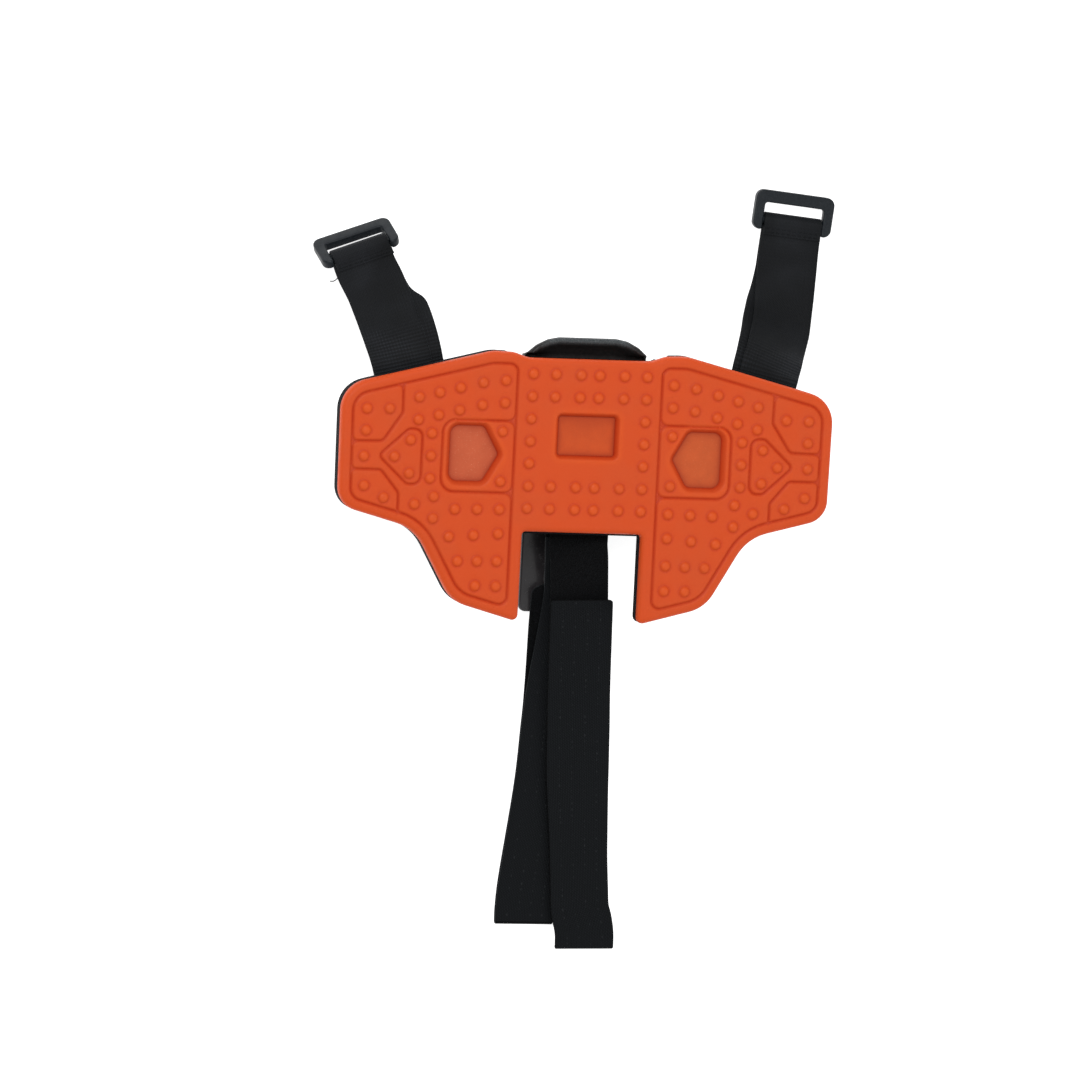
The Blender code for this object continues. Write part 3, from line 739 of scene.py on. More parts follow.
def face_points(outline, windows, grooves, nubs):
    """Mesh points: dense along every edge, groove and nub, and an even grid between them."""
    edge = resample(outline, 0.8)
    rims = [resample(window, 0.6) for window, _ in windows]
    seams = []
    for side in (-1, 1):
        line = np.array([(side * HINGE_X, y) for y in np.arange(*FIELD_Y, 0.6)])
        seams.append(line[inside(line, outline)])
    loose = [inset(edge, d) for d in (0.25, 0.6, 1.05, 1.6, 2.3, 3.0)]
    for (_, slope), rim in zip(windows, rims):
        loose += [inset(rim, -slope * share) for share in (0.12, 0.3, 0.5, 0.7, 0.88, 1.05, 1.35)]
    for line, closed in grooves:
        centre = resample(line, 0.9, closed)
        ahead = np.gradient(centre, axis=0)
        side = np.stack([-ahead[:, 1], ahead[:, 0]], -1)
        side /= np.maximum(np.linalg.norm(side, axis=1, keepdims=True), 1e-9)
        loose += [centre + side * d for d in (0, -0.4, 0.4, -0.8, 0.8, -1.25, 1.25)]
    for x, y in nubs:
        for count, radius in ((1, 0), (8, 0.7), (12, 1.25), (16, 1.7), (20, 2.0), (20, 2.25), (20, 2.6),
                              (20, 3.3)):
            turn = np.arange(count) * math.tau / count
            loose.append(np.stack([x + radius * np.cos(turn), y + radius * np.sin(turn)], -1))
    grid = np.array([(x + (0.7 if j % 2 else 0), y) for j, y in enumerate(np.arange(*FIELD_Y, 1.2))
                     for x in np.arange(-FIELD_X, FIELD_X, 1.4)])
    kept, seen = list(map(tuple, np.vstack([edge, *rims, *seams]))), set()
    for batch, cell in ((np.vstack(loose), 0.24), (grid, 0.75)):
        tree = KDTree(len(kept))
        for index, (x, y) in enumerate(kept):
            tree.insert((x, y, 0), index)
        tree.balance()
        good = inside(batch, outline)
        for hole, _ in windows:
            good &= ~inside(batch, hole)
        for x, y in batch[good]:
            key = (round(x / cell), round(y / cell))
            if key in seen or tree.find((x, y, 0))[2] < cell:
                continue
            seen.add(key)
            kept.append((x, y))
    return kept, edge, rims, seams


def face_height(points, outline, windows, grooves, nubs):
    """Height of the face at each point, and a value from 0 to 1 for painted light: high for painted highlight
    on raised parts, low for painted shade in sunken ones.
    """
    depth_in = line_distance(points, outline, True)
    height = np.full(len(points), FACE_TOP)
    relief_light = np.full(len(points), 0.5)
    turn = np.clip(EDGE_RADIUS - depth_in, 0, EDGE_RADIUS)
    height -= EDGE_RADIUS - np.sqrt(EDGE_RADIUS ** 2 - turn ** 2)
    # painted highlight along the rounded outer edge
    relief_light += 0.22 * np.exp(-((depth_in - 2.2) / 1.4) ** 2)
    for line, closed in grooves:
        near = line_distance(points, line, closed)
        cut = np.clip(1 - near / GROOVE_HALF, 0, 1)
        height = np.minimum(height, FACE_TOP - GROOVE_DEPTH * ease(cut))
        # painted shade in the groove
        relief_light = np.minimum(relief_light, 0.5 - 0.42 * cut ** 1.3)
    for window, slope in windows:
        near = line_distance(points, window, True)
        drop = np.clip(1 - near / slope, 0, 1)
        height = np.minimum(height, FACE_TOP - (FACE_TOP - INSERT_TOP - 0.02) * drop ** 1.6)
        # painted shade down the window's sloping wall and in a dark line at its foot, then a painted
        # highlight along the wall's upper edge
        relief_light -= 0.2 * drop + 0.28 * np.clip(1 - near / 0.75, 0, 1)
        relief_light += 0.16 * np.exp(-((near - slope - 0.5) / 0.7) ** 2)
    for x, y in nubs:
        near = np.hypot(points[:, 0] - x, points[:, 1] - y)
        dome = np.clip(1 - (near / NUB_RADIUS) ** 3, 0, 1) ** 0.6
        height += NUB_HEIGHT * 0.85 * dome
        height -= 0.22 * np.exp(-((near - MOAT_RADIUS) / 0.5) ** 2)
        # painted highlight on the nub's dome, painted shade in the moat round it
        relief_light += 0.24 * dome - 0.2 * np.exp(-((near - MOAT_RADIUS + 0.2) / 0.45) ** 2)
    return height, np.clip(relief_light, 0, 1)


def solid_triangles(flat, triangles, holes):
    """Which triangles have an area and lie outside the holes."""
    first, second, third = (flat[triangles[:, k]] for k in range(3))
    along, aside = second - first, third - first
    keep = abs(along[:, 0] * aside[:, 1] - along[:, 1] * aside[:, 0]) > 1e-6
    for hole in holes:
        keep &= ~inside((first + second + third) / 3, hole)
    return keep


def close_below(bm, level, holes):
    """Add walls down from a sheet's open edges, and a flat underside that leaves out the holes."""
    bm.verts.index_update()
    rim = [e for e in bm.edges if len(e.link_faces) == 1]
    upper = sorted({v for e in rim for v in e.verts}, key=lambda v: v.index)
    order = {vert: k for k, vert in enumerate(upper)}
    links = [(order[e.verts[0]], order[e.verts[1]]) for e in rim]
    lower = [bm.verts.new((v.co.x, v.co.y, level)) for v in upper]
    for a, b in links:
        bm.faces.new((upper[a], upper[b], lower[b], lower[a]))
    flat, _, triangles, origin, *_ = delaunay_2d_cdt([v.co.xy for v in upper], links, [], 1, 1e-5)
    keep = solid_triangles(np.array([tuple(p) for p in flat]), np.array(triangles), holes)
    for triangle, kept in zip(triangles, keep):
        if kept:
            bm.faces.new([lower[origin[i][0]] for i in triangle])
    return lower


def build_face(material):
    """The rubber face as three closed sections that meet in the fold grooves."""
    outline, windows, grooves, nubs = face_features()
    points, edge, rims, seams = face_points(outline, windows, grooves, nubs)
    links = []
    start = 0
    for loop in [edge] + rims:
        links += [(start + i, start + (i + 1) % len(loop)) for i in range(len(loop))]
        start += len(loop)
    for seam in seams:
        links += [(start + i, start + i + 1) for i in range(len(seam) - 1)]
        start += len(seam)
    flat, _, triangles, *_ = delaunay_2d_cdt([Vector(p) for p in points], links, [], 0, 1e-5)
    flat = np.array([tuple(p) for p in flat])
    triangles = np.array(triangles)
    middles = flat[triangles].mean(axis=1)
    keep = inside(middles, edge) & solid_triangles(flat, triangles, rims)
    triangles, middles = triangles[keep], middles[keep]
    height, relief_light = face_height(flat, edge, windows, grooves, nubs)
    sections = {
        "left_wing_face": middles[:, 0] < -HINGE_X,
        "centre_face": np.abs(middles[:, 0]) <= HINGE_X,
        "right_wing_face": middles[:, 0] > HINGE_X}
    made = {}
    for name, chosen in sections.items():
        part = triangles[chosen]
        used, index = np.unique(part, return_inverse=True)
        index = index.reshape(part.shape)
        bm = bmesh.new()
        verts = [bm.verts.new((*flat[k], height[k])) for k in used]
        for a, b, c in index:
            bm.faces.new((verts[a], verts[b], verts[c]))
        lower = close_below(bm, FACE_BOTTOM, rims)
        section = finish_object(name + "_skin", bm, material, 50)
        # per-vertex values for the face material's painted highlight and shade
        point_attribute(section, "relief_light", list(relief_light[used]) + [0.45] * len(lower))
        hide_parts(name)
        made[name] = section
    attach(made["centre_face"], "root")
    for side, body in ((-1, "left_wing"), (1, "right_wing")):
        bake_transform(made[body + "_face"])


# ---------------------------------------------------------------- foam and window panels

def clip(outline, limit, side):
    """The part of an outline beyond the line x = limit, on the side given by the sign."""
    kept = []
    points = [tuple(p) for p in outline]
    for here, after in zip(points, points[1:] + points[:1]):
        inner, outer = (here[0] - limit) * side, (after[0] - limit) * side
        if inner >= 0:
            kept.append(here)
        if inner * outer < 0:
            share = inner / (inner - outer)
            kept.append((limit, here[1] + (after[1] - here[1]) * share))
    return kept


def lean_fold_walls(bm):
    """Lean the walls beside the fold lines, which gives the wings room to fold back."""
    slope = math.tan(math.radians(8.5))
    reach = 5.0
    for vert in bm.verts:
        side = abs(vert.co.x) - HINGE_X
        if abs(side) < reach and vert.co.z < HINGE_Z:
            lean = (HINGE_Z - vert.co.z) * slope * (1 - abs(side) / reach)
            vert.co.x += math.copysign(1, vert.co.x) * math.copysign(lean, side)


FOAM_SHELF = 1.0                # how far the foam stands out under the face along the notch's top
FOAM_SETBACK = 0.9              # how far it is set back under the face behind the lip


def build_foam(material):
    """Foam backing in three parts, with a narrow gap at each fold line."""
    pad = inset(resample(pad_outline(), 1.0), 0.1)
    near, far = HINGE_X - GAP / 2, HINGE_X + GAP / 2
    outlines = {"left_wing": clip(pad, -far, -1), "centre": clip(clip(pad, near, -1), -near, 1),
                "right_wing": clip(pad, far, 1)}
    for name, outline in outlines.items():
        bm = bmesh.new()
        shape = resample(rounded([(x, y, 0) for x, y in outline]), 1.2)
        shelf = (abs(shape[:, 0]) < NOTCH_HALF_WIDTH - 0.5) & (abs(shape[:, 1] - NOTCH_TOP) < 0.6)
        shape[shelf, 1] -= FOAM_SHELF
        shape[(abs(shape[:, 0]) < 34.0) & (shape[:, 1] > 48.0), 1] -= FOAM_SETBACK
        stack_loops(bm, rounded_slab_loops(shape, FOAM_BOTTOM, FOAM_TOP, 0.9, 0.3))
        lean_fold_walls(bm)
        foam = finish_object(name + "_foam_pad", bm, material, 50)
        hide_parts(name + "_foam")
        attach(foam, "root" if name == "centre" else name)


def build_inserts():
    """The granulated panels at the bottom of the windows, with painted shade towards their edges."""
    paler = insert_rubber("insert_left", (0.535, 0.100, 0.038), (0.72, 0.27, 0.15), (0.45, 0.080, 0.028))
    plain = insert_rubber("insert_centre", (0.575, 0.077, 0.012), (0.62, 0.10, 0.026), (0.49, 0.062, 0.011))
    browner = insert_rubber("insert_right", (0.55, 0.092, 0.021), (0.66, 0.17, 0.07), (0.45, 0.076, 0.018))
    shapes = {"left_wing": (mirrored(pentagon_window())[::-1], paler), "centre": (centre_window(), plain),
              "right_wing": (pentagon_window(), browner)}
    for name, (outline, material) in shapes.items():
        panel, flat = draped(name + "_insert_panel", outline, lambda places: np.full(len(places), INSERT_TOP),
                             lambda places: np.full(len(places), FACE_BOTTOM), material, 0.6)
        # painted shade next to the window's walls
        shade = np.exp(-line_distance(flat, outline, True) / 1.3)
        # in the centre window, also a painted shadow cast down from its top wall
        if name == "centre":
            shade = np.maximum(shade, 0.75 * np.exp((flat[:, 1] - flat[:, 1].max()) / 4.5))
        point_attribute(panel, "shade", np.concatenate([shade, shade]))
        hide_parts(name + "_insert")
        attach(panel, "root" if name == "centre" else name)


# ---------------------------------------------------------------- base plate and rear hook

LIP_EDGE = [(26.0, 46.6, 0), (26.0, 51.7, 2), (22.0, 55.2, 5), (17.2, 57.7, 4), (12.2, 58.7, 4)]
LIP_FLAT_Y = 50.4               # the lip's inner part lies under the foam up to here
LIP_RISE = 1.8                  # and it stands up over this distance
# Heights of the lip's two sides, at distances in from its edge.
LIP_TOP = [(0, 27.4), (0.3, 28.6), (0.9, 29.2), (1.8, 29.2), (2.5, 28.7), (3.6, 27.4), (5, 26.0), (7, 24.9)]
LIP_UNDERSIDE = [(0, 27.2), (0.4, 25.6), (1.2, 23.6), (2.6, 21.4), (4.5, 19.9), (7, PLATE_BOTTOM)]


def lip_distance(flat):
    return line_distance(flat, both_sides(LIP_EDGE), False)


def lip_height(flat, profile, level):
    """Height of one side of the lip, which is flat at its level under the foam."""
    height = np.interp(lip_distance(flat), *zip(*profile))
    return level + (height - level) * ease((flat[:, 1] - LIP_FLAT_Y) / LIP_RISE)


def build_plate(material, lip_material):
    """Base plate with two rails for the foam, and the lip that stands up past the pad's top edge."""
    outline = rounded([(25, -20, 4), (25, 49.5, 1.5), (-25, 49.5, 1.5), (-25, -20, 4)])
    plate = slab("base_plate_body", material, resample(outline, 1.2), PLATE_BOTTOM, PLATE_TOP, 0.5, 0.4, 3)
    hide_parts("base_plate")
    pieces = [plate]
    for middle, label in ((-20.5, "left"), (20.5, "right")):
        rail = resample(rectangle(middle - 4, -19, middle + 4, 44, 2), 1.2)
        pieces.append(slab(label + "_rail", material, rail, PLATE_TOP - 0.3, ZONE_TOP, 0.1, 0.3, 3))
    lip, flat = draped("lip", both_sides(LIP_EDGE), lambda places: lip_height(places, LIP_TOP, 24.7),
                       lambda places: lip_height(places, LIP_UNDERSIDE, PLATE_BOTTOM), lip_material)
    # where the lip's painted highlight and its coarse texture go: the raised rim, fading towards its ends
    rim = np.clip(1 - (lip_distance(flat) - 1.6) / 1.6, 0, 1)
    rim *= np.clip((17.5 - abs(flat[:, 0])) / 5 + 0.6, 0, 1)
    point_attribute(lip, "relief_light", np.concatenate([rim, np.zeros(len(flat))]))
    pieces.append(lip)
    for piece in pieces:
        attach(piece, "root")


BEND_Y = 44.0                   # where the hook's bend starts
ARM_TIP_Y = 8.0
TONGUE_CORNER = 3.0             # radius of the tongue's corners, seen from above
TONGUE_STEPS = 8


def hook_path():
    """Middle line of the hook, from the tongue's tip round the bend to the arm's tip."""
    low = HOOK_THICKNESS / 2
    radius = HOOK_TOP / 2 - low
    points = [(TONGUE_TIP_Y + TONGUE_CORNER * (1 - math.cos(math.pi / 2 * k / TONGUE_STEPS)), low)
              for k in range(TONGUE_STEPS)]
    points += [(y, low) for y in np.arange(TONGUE_TIP_Y, BEND_Y, 2.0)
               if y > TONGUE_TIP_Y + TONGUE_CORNER + 0.1]
    points += [(BEND_Y + radius * math.cos(a), HOOK_TOP / 2 + radius * math.sin(a))
               for a in np.linspace(-math.pi / 2, math.pi / 2, 25)]
    points += [(y, HOOK_TOP - low) for y in (*np.arange(BEND_Y - 2, ARM_TIP_Y, -2.0), ARM_TIP_Y)]
    return [Vector((0, y, z)) for y, z in points]


def build_hook(material):
    """Bent plate whose tongue has rounded corners, and the long rib on the tongue."""
    path = hook_path()
    loops = []
    for index, point in enumerate(path):
        before, after = path[max(0, index - 1)], path[min(len(path) - 1, index + 1)]
        normal = Vector((1, 0, 0)).cross((after - before).normalized())
        half = HOOK_HALF_WIDTH
        if index < TONGUE_STEPS:
            lag = math.acos(1 - (point.y - TONGUE_TIP_Y) / TONGUE_CORNER)
            half -= TONGUE_CORNER * (1 - math.sin(lag))
        edge = min(1.0, 0.35 + 0.65 * min(index, len(path) - 1 - index) / 2)
        high = HOOK_THICKNESS / 2 * edge
        loops.append([tuple(point + Vector((x, 0, 0)) + normal * n)
                      for x, n in rectangle(-half, -high, half, high, edge, 22)])
    bm = bmesh.new()
    stack_loops(bm, loops)
    hook = finish_object("hook_body", bm, material)
    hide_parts("hook")
    ridge = slab("tongue_rib", material, resample(rectangle(-8, -50, 8, 36, 4), 1.0),
                 HOOK_THICKNESS - 0.4, HOOK_THICKNESS + 1.3, 0.05, 0.9)
    for piece in (hook, ridge):
        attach(piece, "root")


def rivet_profile():
    """Half outline of a domed rivet through the hook's arm and the base plate."""
    arm_bottom = HOOK_TOP - HOOK_THICKNESS
    quarter = np.linspace(0, math.pi / 2, 9)[1:]
    head = [(3.6 * math.sin(a), arm_bottom - 0.15 - 1.15 * math.cos(a)) for a in quarter]
    quarter = np.linspace(0, math.pi / 2, 7)[:-1]
    dome = [(3.55 * math.cos(a), PLATE_TOP + 0.35 + 0.75 * math.sin(a)) for a in quarter]
    shank = [(1.9, arm_bottom - 0.1), (1.9, PLATE_TOP + 0.15), (3.6, PLATE_TOP + 0.15)]
    return [(0, arm_bottom - 1.3)] + head + shank + dome + [(0, PLATE_TOP + 1.1)]


def screw_profile(low, high):
    """Half outline of a pan-head screw with its thread, up through a rail into the foam."""
    head = [(0, low + 0.55), (0.9, low + 0.5), (1.05, low + 0.02), (1.6, low), (2.3, low + 0.25),
            (2.75, low + 0.7), (2.8, PLATE_BOTTOM - 0.15)]
    threads = [(1.2, PLATE_BOTTOM)]
    level = PLATE_BOTTOM
    while level < high - 1.6:
        threads += [(1.5, level + 0.35), (1.2, level + 0.7)]
        level += 0.7
    return head + [(1.3, PLATE_BOTTOM - 0.14)] + threads + [(0.9, high - 0.6), (0, high)]


def build_fasteners(material):
    """Domed rivets through the hook and screws up through the rails."""
    for number in range(1, 5):
        for kind, sides in (("rivet", 40), ("screw", 32)):
            node = f"{kind}_{number}"
            low, high = node_box(node)
            profile = rivet_profile() if kind == "rivet" else screw_profile(low.z, high.z)
            bm = bmesh.new()
            turned(bm, (low.x + high.x) / 2, (low.y + high.y) / 2, profile, sides)
            piece = finish_object(node + "_turned", bm, material)
            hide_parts(node)
            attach(piece, "root")


# ---------------------------------------------------------------- straps

WEB_WIDTH = 25.0
PLY = 1.1
SKEW_REACH = 7.0                # length over which a slanted end is drawn out
LOOP_MIDDLE = 2.55              # radius of the webbing's middle where it turns round the ring's bar


def ribbon_section(width, thickness, columns):
    """Points of a strap's cross-section, as (across, offset, side), going round it once."""
    half, edge = width / 2, thickness / 2
    across = np.linspace(-half + edge, half - edge, columns)
    bottom = [(x, -edge, -1.0) for x in across]
    right = [(half - edge + edge * math.cos(a), edge * math.sin(a), 0.0) for a in (-0.9, 0.0, 0.9)]
    top = [(x, edge, 1.0) for x in across[::-1]]
    left = [(-x, y, s) for x, y, s in right[::-1]]
    return bottom + right + top + left


def ribbon(name, stations, material, width=WEB_WIDTH, thickness=PLY, columns=18, wander=0.12, seed=1,
           second=None, skew=0.0, corners=(0.0, 0.0), spread=None):
    """A flat strap swept through (point, across, normal) stations, with slightly uneven edges.

    The second material goes on its upper side. The skew slants its last end, whose two corners are
    rounded to the given radii. The spread is the extra width at each station.
    """
    rng = random.Random(seed)
    section = ribbon_section(width, thickness, columns)
    phases = [(rng.uniform(0, math.tau), rng.uniform(7, 23)) for _ in range(4)]
    steps = [0.0] + [(b[0] - a[0]).length for a, b in zip(stations, stations[1:])]
    runs = np.cumsum(steps)
    bm = bmesh.new()
    layer = bm.verts.layers.float_vector.new("tape")
    rings = []
    for index, (point, across, normal) in enumerate(stations):
        run = runs[index]
        left_to_go = runs[-1] - run
        edges = [sum(math.sin(run / size + phase) for phase, size in phases[k::2]) * wander / 2
                 for k in (0, 1)]
        trims = []
        for radius in corners:
            depth = max(0.0, radius - left_to_go)
            trims.append(radius - math.sqrt(max(0.0, radius * radius - depth * depth)))
        wide = 1 + spread[index] / width if spread else 1.0
        last = max(0.0, 1 - left_to_go / SKEW_REACH)
        direction = (point - stations[index - 1][0]).normalized() if index else Vector((0, 0, 0))
        ring = []
        for x, n, side in section:
            share = 0.5 + x / width
            trim = trims[0] if x < 0 else trims[1]
            shifted = x * wide * (1 - trim / (width / 2)) + edges[0] * (1 - share) + edges[1] * share
            slant = direction * skew * last * (0.5 - share)
            vert = bm.verts.new(point + across * shifted + normal * n + slant)
            vert[layer] = (x, run, side)
            ring.append(vert)
        rings.append(ring)
    join_rings(bm, rings, range(columns + 1, 2 * columns + 3) if second else range(0))
    made = finish_object(name, bm, material, 60)
    if second:
        made.data.materials.append(second)
    return made


def stations_along(path, offset=0.0, sideways=None):
    """Frames along a path, moved along the normal and sideways by a table of (y, shift) pairs."""
    shifts = np.zeros(len(path))
    if sideways:
        ys, values = zip(*sideways)
        shifts = np.interp([point.y for point in path], ys, values)
        shifts = np.convolve(np.pad(shifts, 2, mode="edge"), np.full(5, 0.2), mode="valid")
    result = []
    for index, point in enumerate(path):
        _, across, normal = axes_along(path, index)
        result.append((point + normal * offset + across * shifts[index], across, normal))
    return result


def stitches(name, points, normal, direction, material):
    """Raised thread stitches: short rounded bars lying on the webbing."""
    length, radius = 2.0, 0.22
    bm = bmesh.new()
    side = direction.cross(normal).normalized()
    for point in points:
        rings = []
        for k in range(7):
            t = -1 + 2 * k / 6
            size = radius * math.sqrt(max(0.0, 1 - abs(t) ** 3)) + 0.02
            centre = point + direction * length / 2 * t + normal * (radius * 0.6 * (1 - t * t))
            rings.append([bm.verts.new(centre + side * size * math.cos(a) + normal * size * math.sin(a))
                          for a in np.linspace(0, math.tau, 8, endpoint=False)])
        join_rings(bm, rings)
    return finish_object(name, bm, material, 80)


# Middle line of each ring strap, from the pad's edge to the ring's bar.
RING_STRAP_PATHS = {
    "left": [(-77.6, 45.2, 23.5), (-78.3, 48.0, 23.1), (-80.0, 54.5, 20.8), (-83.2, 64.0, 16.8),
             (-88.1, 75.0, 13.4), (-93.1, 84.2, 12.2), (-96.0, 91.7, 12.0)],
    "right": [(77.6, 45.2, 23.5), (78.3, 48.0, 22.8), (80.6, 54.0, 18.6), (84.2, 63.0, 10.0),
              (87.0, 73.0, 4.8), (88.6, 84.0, 3.5), (89.7, 96.0, 3.5), (90.9, 107.9, 3.6)]}
# The two plies of a ring strap lie a little apart: sideways shifts at distances up the pad.
FRONT_PLY_SHIFT = {"left": [(45, -0.3), (54, -0.8), (62, -0.8), (70, -0.4), (76, 0.0), (92, 0.0)],
                   "right": [(45, 1.6), (54, 2.1), (65, 2.7), (73, 1.8), (84, 1.0), (96, 0.4), (108, 0.0)]}
BACK_PLY_SHIFT = {"left": [(45, 4.9), (54, 5.2), (61, 5.4), (66.2, 5.1), (70.0, 0.9), (76, 0.3), (92, 0.0)],
                  "right": [(45, -1.6), (54, -1.9), (65, -2.0), (73, -1.7), (80, -0.7), (88, 0.0),
                            (108, 0.0)]}
FOLD_DRIFT = {"left": 0.9, "right": 0.4}     # how far the sewn-down end lies out of line
FOLD_HEIGHT = 1.8                            # of the sewn-down end above the strap's middle


def build_ring_strap(label, side, cloth):
    """Two plies from under the foam to the ring; the lower one turns round the bar and is sewn down."""
    points = RING_STRAP_PATHS[label]
    start = Vector(points[0])
    along = Vector((side * EDGE_SLOPE, 1, 0)).normalized()
    tail = [tuple(start - along * distance) for distance in (22, 14, 7, 3)]
    path = curve_through(tail + points, 1.0)
    bar = path[-1]
    tangent, across, normal = axes_along(path, len(path) - 1)
    strap_body = label + "_ring_strap"

    lower = stations_along(path[:-5], -PLY / 2 - 0.05, BACK_PLY_SHIFT[label])
    turn = [(-2.4, -1.9), (-0.9, -2.4)]
    turn += [(LOOP_MIDDLE * math.cos(a), LOOP_MIDDLE * math.sin(a)) for a in np.linspace(-1.5, 1.5, 11)]
    turn += [(-1.2, 2.45), (-2.6, 2.2), (-3.8, 1.95), (-5.0, 1.82), (-6.2, FOLD_HEIGHT)]
    for index, (s, n) in enumerate(turn):
        before, after = turn[max(0, index - 1)], turn[min(len(turn) - 1, index + 1)]
        run = (tangent * (after[0] - before[0]) + normal * (after[1] - before[1])).normalized()
        drift = across * FOLD_DRIFT[label] * max(0, index - 12) / 5
        lower.append((bar + tangent * s + normal * n + drift, across, across.cross(run)))
    back = ribbon(label + "_strap_back_ply", lower, cloth, seed=3 + side)
    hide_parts(strap_body, label + "_strap_tail")

    upper = stations_along(path[:-3], PLY / 2 + 0.05, FRONT_PLY_SHIFT[label])
    front = ribbon(label + "_strap_front_ply", upper, cloth, seed=7 + side, width=25.8)
    for piece in (back, front):
        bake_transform(piece)

    if label == "left":
        loose = [bar - tangent * 8.2 - across * 11.8, bar - tangent * 9.0 - across * 13.2,
                 bar - tangent * 9.3 - across * 14.6 + normal * 0.4, bar - tangent * 8.9 - across * 16.0]
        strand = ribbon("left_strap_loose_thread", stations_along(curve_through(loose, 0.3)), cloth,
                        width=0.7, thickness=0.6, columns=3, wander=0.2)
        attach(strand, strap_body)

    seat = bar + normal * (FOLD_HEIGHT + PLY / 2 + 0.02)
    rows = [seat + tangent * distance + across * x for distance in (-3.6, -5.2)
            for x in np.arange(-10.6, 10.7, 2.35)]
    sewn = stitches(label + "_strap_stitching", rows, normal, across, cloth)
    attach(sewn, strap_body)


def build_ring(label, droop_deg, material):
    """Moulded plastic ring with rounded edges and a round lower bar; it droops from level by an angle."""
    joint = JOINTS[label + "_ring_turn"]
    bar = Vector(joint["pos_m"]) / MM
    across = Vector(joint["axis"]).normalized()
    flat = Vector((0, 0, 1)).cross(across).normalized()
    droop = math.radians(droop_deg)
    out = flat * math.cos(droop) - Vector((0, 0, 1)) * math.sin(droop)
    normal = across.cross(out)
    outer = [(-17, -4.4, 3.2), (-12.8, -4.4, 1), (-12.8, 7.2, 1.2), (12.8, 7.2, 1.2), (12.8, -4.4, 1),
             (17, -4.4, 3.2), (17, 12.4, 3.4), (-17, 12.4, 3.4)]
    shape = resample(rounded(outer), 0.55)
    bm = bmesh.new()

    def place(point):
        return bar + across * point.x + out * point.y + normal * point.z

    stack_loops(bm, rounded_slab_loops(shape, -2.0, 2.0, 0.75, 0.75, 5), place)
    frame_piece = finish_object(label + "_ring_frame", bm, material, 50)
    bm = bmesh.new()
    rings = []
    for x in np.linspace(-13.8, 13.8, 40):
        swell = 1.65 + 0.35 * max(0.0, (abs(x) - 11.8) / 2.0) ** 2
        rings.append([bar + across * x + out * swell * math.cos(a) + normal * min(swell, 1.6) * math.sin(a)
                      for a in np.linspace(0, math.tau, 24, endpoint=False)])
    stack_loops(bm, rings)
    rod = finish_object(label + "_ring_bar", bm, material, 60)
    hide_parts(label + "_ring")
    for piece in (frame_piece, rod):
        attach(piece, label + "_ring")


# Middle line of each long strap, from its bend at the pad to its fold.
LOWER_BASE = [(-0.2, -24.5, 22.85), (0.2, -29.0, 20.9), (1.6, -37.0, 16.2), (3.5, -52.0, 8.8),
              (2.4, -68.0, 5.6), (-0.1, -90.0, 3.0), (-1.3, -104.0, 2.3), (-2.8, -128.0, 2.2),
              (-5.5, -153.5, 2.2), (-7.9, -174.0, 2.2), (-8.6, -184.0, 2.2), (-8.6, -189.5, 2.2)]
UPPER_BASE = [(1.4, -25.0, 24.25), (1.6, -29.0, 23.65), (3.1, -37.0, 20.6), (5.6, -52.0, 12.6),
              (6.8, -68.0, 8.8), (7.9, -90.0, 5.9), (8.6, -104.0, 4.8), (9.7, -128.0, 4.1),
              (12.2, -153.5, 4.0), (13.8, -174.0, 4.0), (14.6, -183.0, 3.9), (16.3, -189.0, 3.7),
              (17.2, -194.0, 3.6), (17.4, -199.0, 3.5)]


def build_long_strap(body, points, cover, under, flap_side, flap_end_y, lean, lean_from_y, lean_to_y,
                     skew, corners, widening):
    """A strap that runs off the pad, folds at its end and lies doubled back on itself.

    The flap lies above the strap for a flap_side of 1 and below it for -1; it drifts sideways by the
    lean while it gets wider by the widening. Its cut end is skewed, in millimetres from one edge to the
    other, and has rounded corners. The cover and the under side are the strap's own; the flap lies the
    other way up.
    """
    radius = (PLY + GAP) / 2
    path = curve_through(points)
    base_piece = ribbon(body + "_tape", stations_along(path), under, seed=20 + len(body) + flap_side,
                        second=cover)
    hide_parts(body)
    tangent, across, normal = axes_along(path, len(path) - 1)
    outward = normal * flap_side
    flap, spread = [], []
    for a in np.linspace(-math.pi / 2, math.pi / 2, 9):
        run = outward * math.cos(a) - tangent * math.sin(a)
        place = path[-1] + outward * radius + (tangent * math.cos(a) + outward * math.sin(a)) * radius
        flap.append((place, -across, run.cross(across) * flap_side))
        spread.append(0.0)
    covered = [index for index, point in enumerate(path) if point.y < flap_end_y][::-1]
    for number, index in enumerate(covered[1:], 1):
        _, across, normal = axes_along(path, index)
        point = path[index]
        gain = float(ease((point.y - lean_from_y) / (lean_to_y - lean_from_y)))
        spread.append(widening * gain)
        wave = 0.12 * math.sin(number * 0.19) * number / len(covered)
        place = point + normal * (2 * radius * flap_side + wave) + Vector((lean * gain, 0, 0))
        flap.append((place, -across, normal))
    before, last = flap[-2:]
    flap[-1:] = [(before[0].lerp(last[0], share), *last[1:]) for share in (0.3, 0.55, 0.75, 0.9, 1.0)]
    spread += [spread[-1]] * (len(flap) - len(spread))
    flap_piece = ribbon(body + "_flap_tape", flap, cover, seed=31 + len(body) + flap_side, second=under,
                        skew=skew, corners=corners, spread=spread)
    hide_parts(body + "_flap")
    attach(base_piece, body)
    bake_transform(flap_piece)


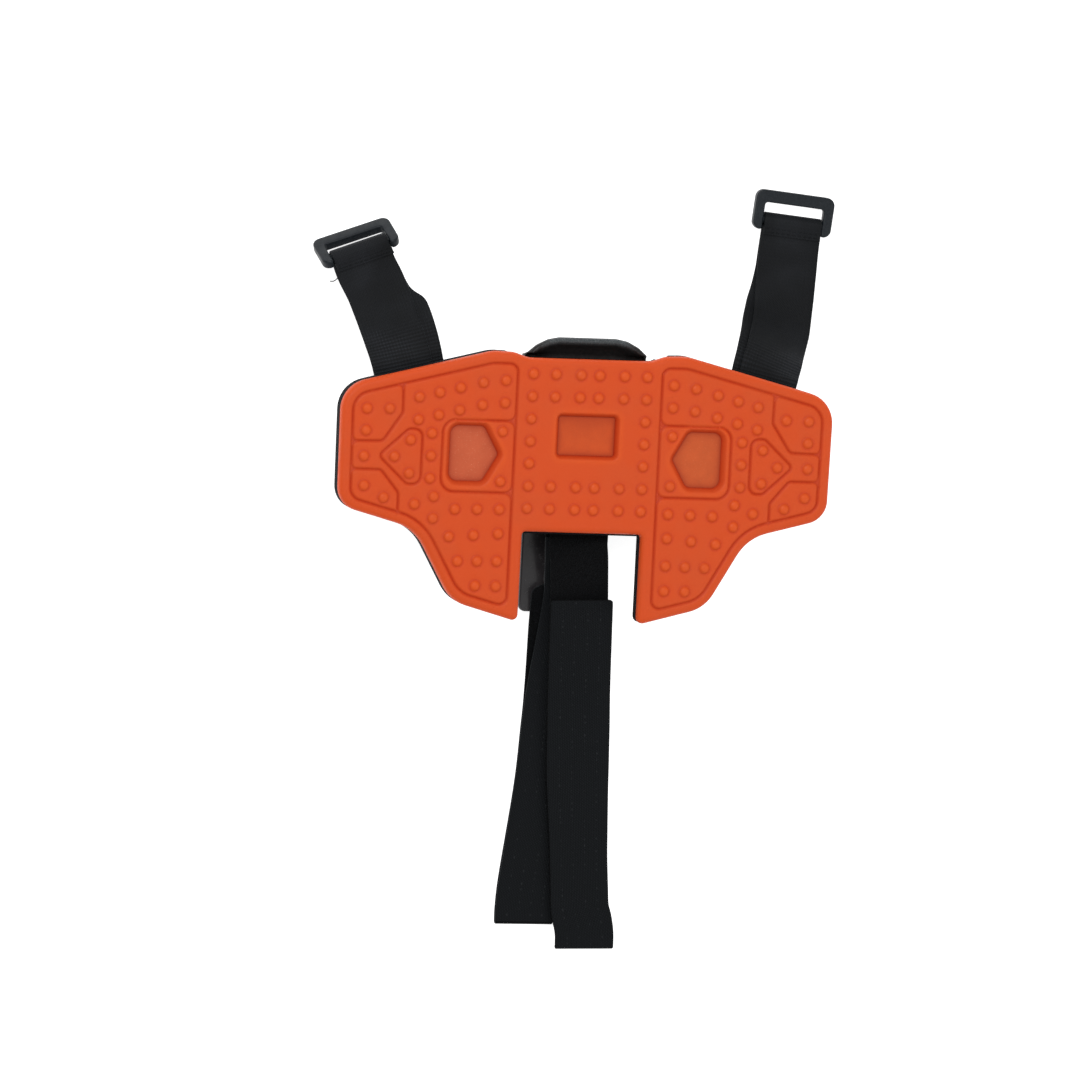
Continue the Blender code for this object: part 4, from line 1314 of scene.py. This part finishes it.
def build_strap_anchor(cover, under, thread):
    """The long straps' sewn ends under the foam, reaching out to where each strap bends."""
    high = node_box("strap_anchor")[1]
    for number, root in enumerate((LOWER_BASE[0], UPPER_BASE[0])):
        path = [Vector((root[0], y, root[2])) for y in np.linspace(high.y - 0.3, root[1] - 0.7, 20)]
        ply = ribbon(f"strap_anchor_ply_{number + 1}", stations_along(path), under, thickness=PLY - 0.08,
                     seed=50 + number, second=cover)
        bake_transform(ply)
    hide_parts("strap_anchor")
    rows = [Vector((x, y, ZONE_LOW - 0.02)) for y in (-8.0, -11.0, -18.0)
            for x in np.arange(-10.5, 10.6, 2.3)]
    sewn = stitches("anchor_stitching", rows, Vector((0, 0, -1)), Vector((1, 0, 0)), thread)
    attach(sewn, "root")


# ---------------------------------------------------------------- stage

def build_stage():
    """A plain pale floor that glows a little, so that it shows almost white, and soft studio light."""
    s = Shader("floor", 0.9, 0.1)
    s.colour(s.ramp(s.noise(60, 2), [(0.3, (0.80, 0.80, 0.80)), (0.7, (0.84, 0.84, 0.84))]))
    s.principled.inputs["Emission Color"].default_value = (1, 1, 1, 1)
    s.principled.inputs["Emission Strength"].default_value = 0.85
    bm = bmesh.new()
    bmesh.ops.create_grid(bm, x_segments=1, y_segments=1, size=3000)
    bmesh.ops.translate(bm, verts=bm.verts, vec=(0, 0, -0.4))
    floor = finish_object("floor", bm, s.material)
    world = bpy.data.worlds.new("studio")
    world.use_nodes = True
    background = world.node_tree.nodes["Background"]
    background.inputs["Color"].default_value = (1, 1, 1, 1)
    background.inputs["Strength"].default_value = 0.55
    bpy.context.scene.world = world
    lights = (("key", (-350, 500, 1100), 500, 7.5), ("fill", (700, -300, 900), 700, 2.6))
    for name, place, size, power in lights:
        data = bpy.data.lights.new(name, "AREA")
        data.shape = "SQUARE"
        data.size = size * MM
        data.energy = power
        lamp = bpy.data.objects.new(name, data)
        lamp.location = Vector(place) * MM
        lamp.rotation_euler = (-Vector(place)).to_track_quat("-Z", "Y").to_euler()
        bpy.context.scene.collection.objects.link(lamp)
    bpy.context.scene.view_settings.view_transform = "Standard"


# ---------------------------------------------------------------- assembly

build_camera()
build_stage()
build_face(face_rubber())
build_foam(foam_black())
build_inserts()
build_plate(textured_plastic("plate_plastic", (0.006, 0.006, 0.007), (0.014, 0.014, 0.015), 0.45, 0.8, 0.03),
            lip_plastic())
build_hook(glossy_plastic())
build_fasteners(steel())
cloth = webbing()
ring_material = textured_plastic("ring_plastic", (0.0065, 0.009, 0.012), (0.012, 0.016, 0.020),
                                 0.45, 0.6, 0.02, 0.22)
for label, side, droop in (("left", -1, 58), ("right", 1, 0)):
    build_ring_strap(label, side, cloth)
    build_ring(label, droop, ring_material)
woven, looped = tape_back(), tape_loops()
build_strap_anchor(cover=looped, under=woven, thread=cloth)
build_long_strap("lower_strap", LOWER_BASE, cover=woven, under=looped, flap_side=-1, flap_end_y=-46.0,
                 lean=-4.9, lean_from_y=-104.0, lean_to_y=-50.0, skew=0.0, corners=(4.8, 1.5),
                 widening=0.0)
build_long_strap("upper_strap", UPPER_BASE, cover=looped, under=woven, flap_side=1, flap_end_y=-51.5,
                 lean=1.0, lean_from_y=-165.0, lean_to_y=-120.0, skew=2.4, corners=(0.8, 1.6),
                 widening=1.9)
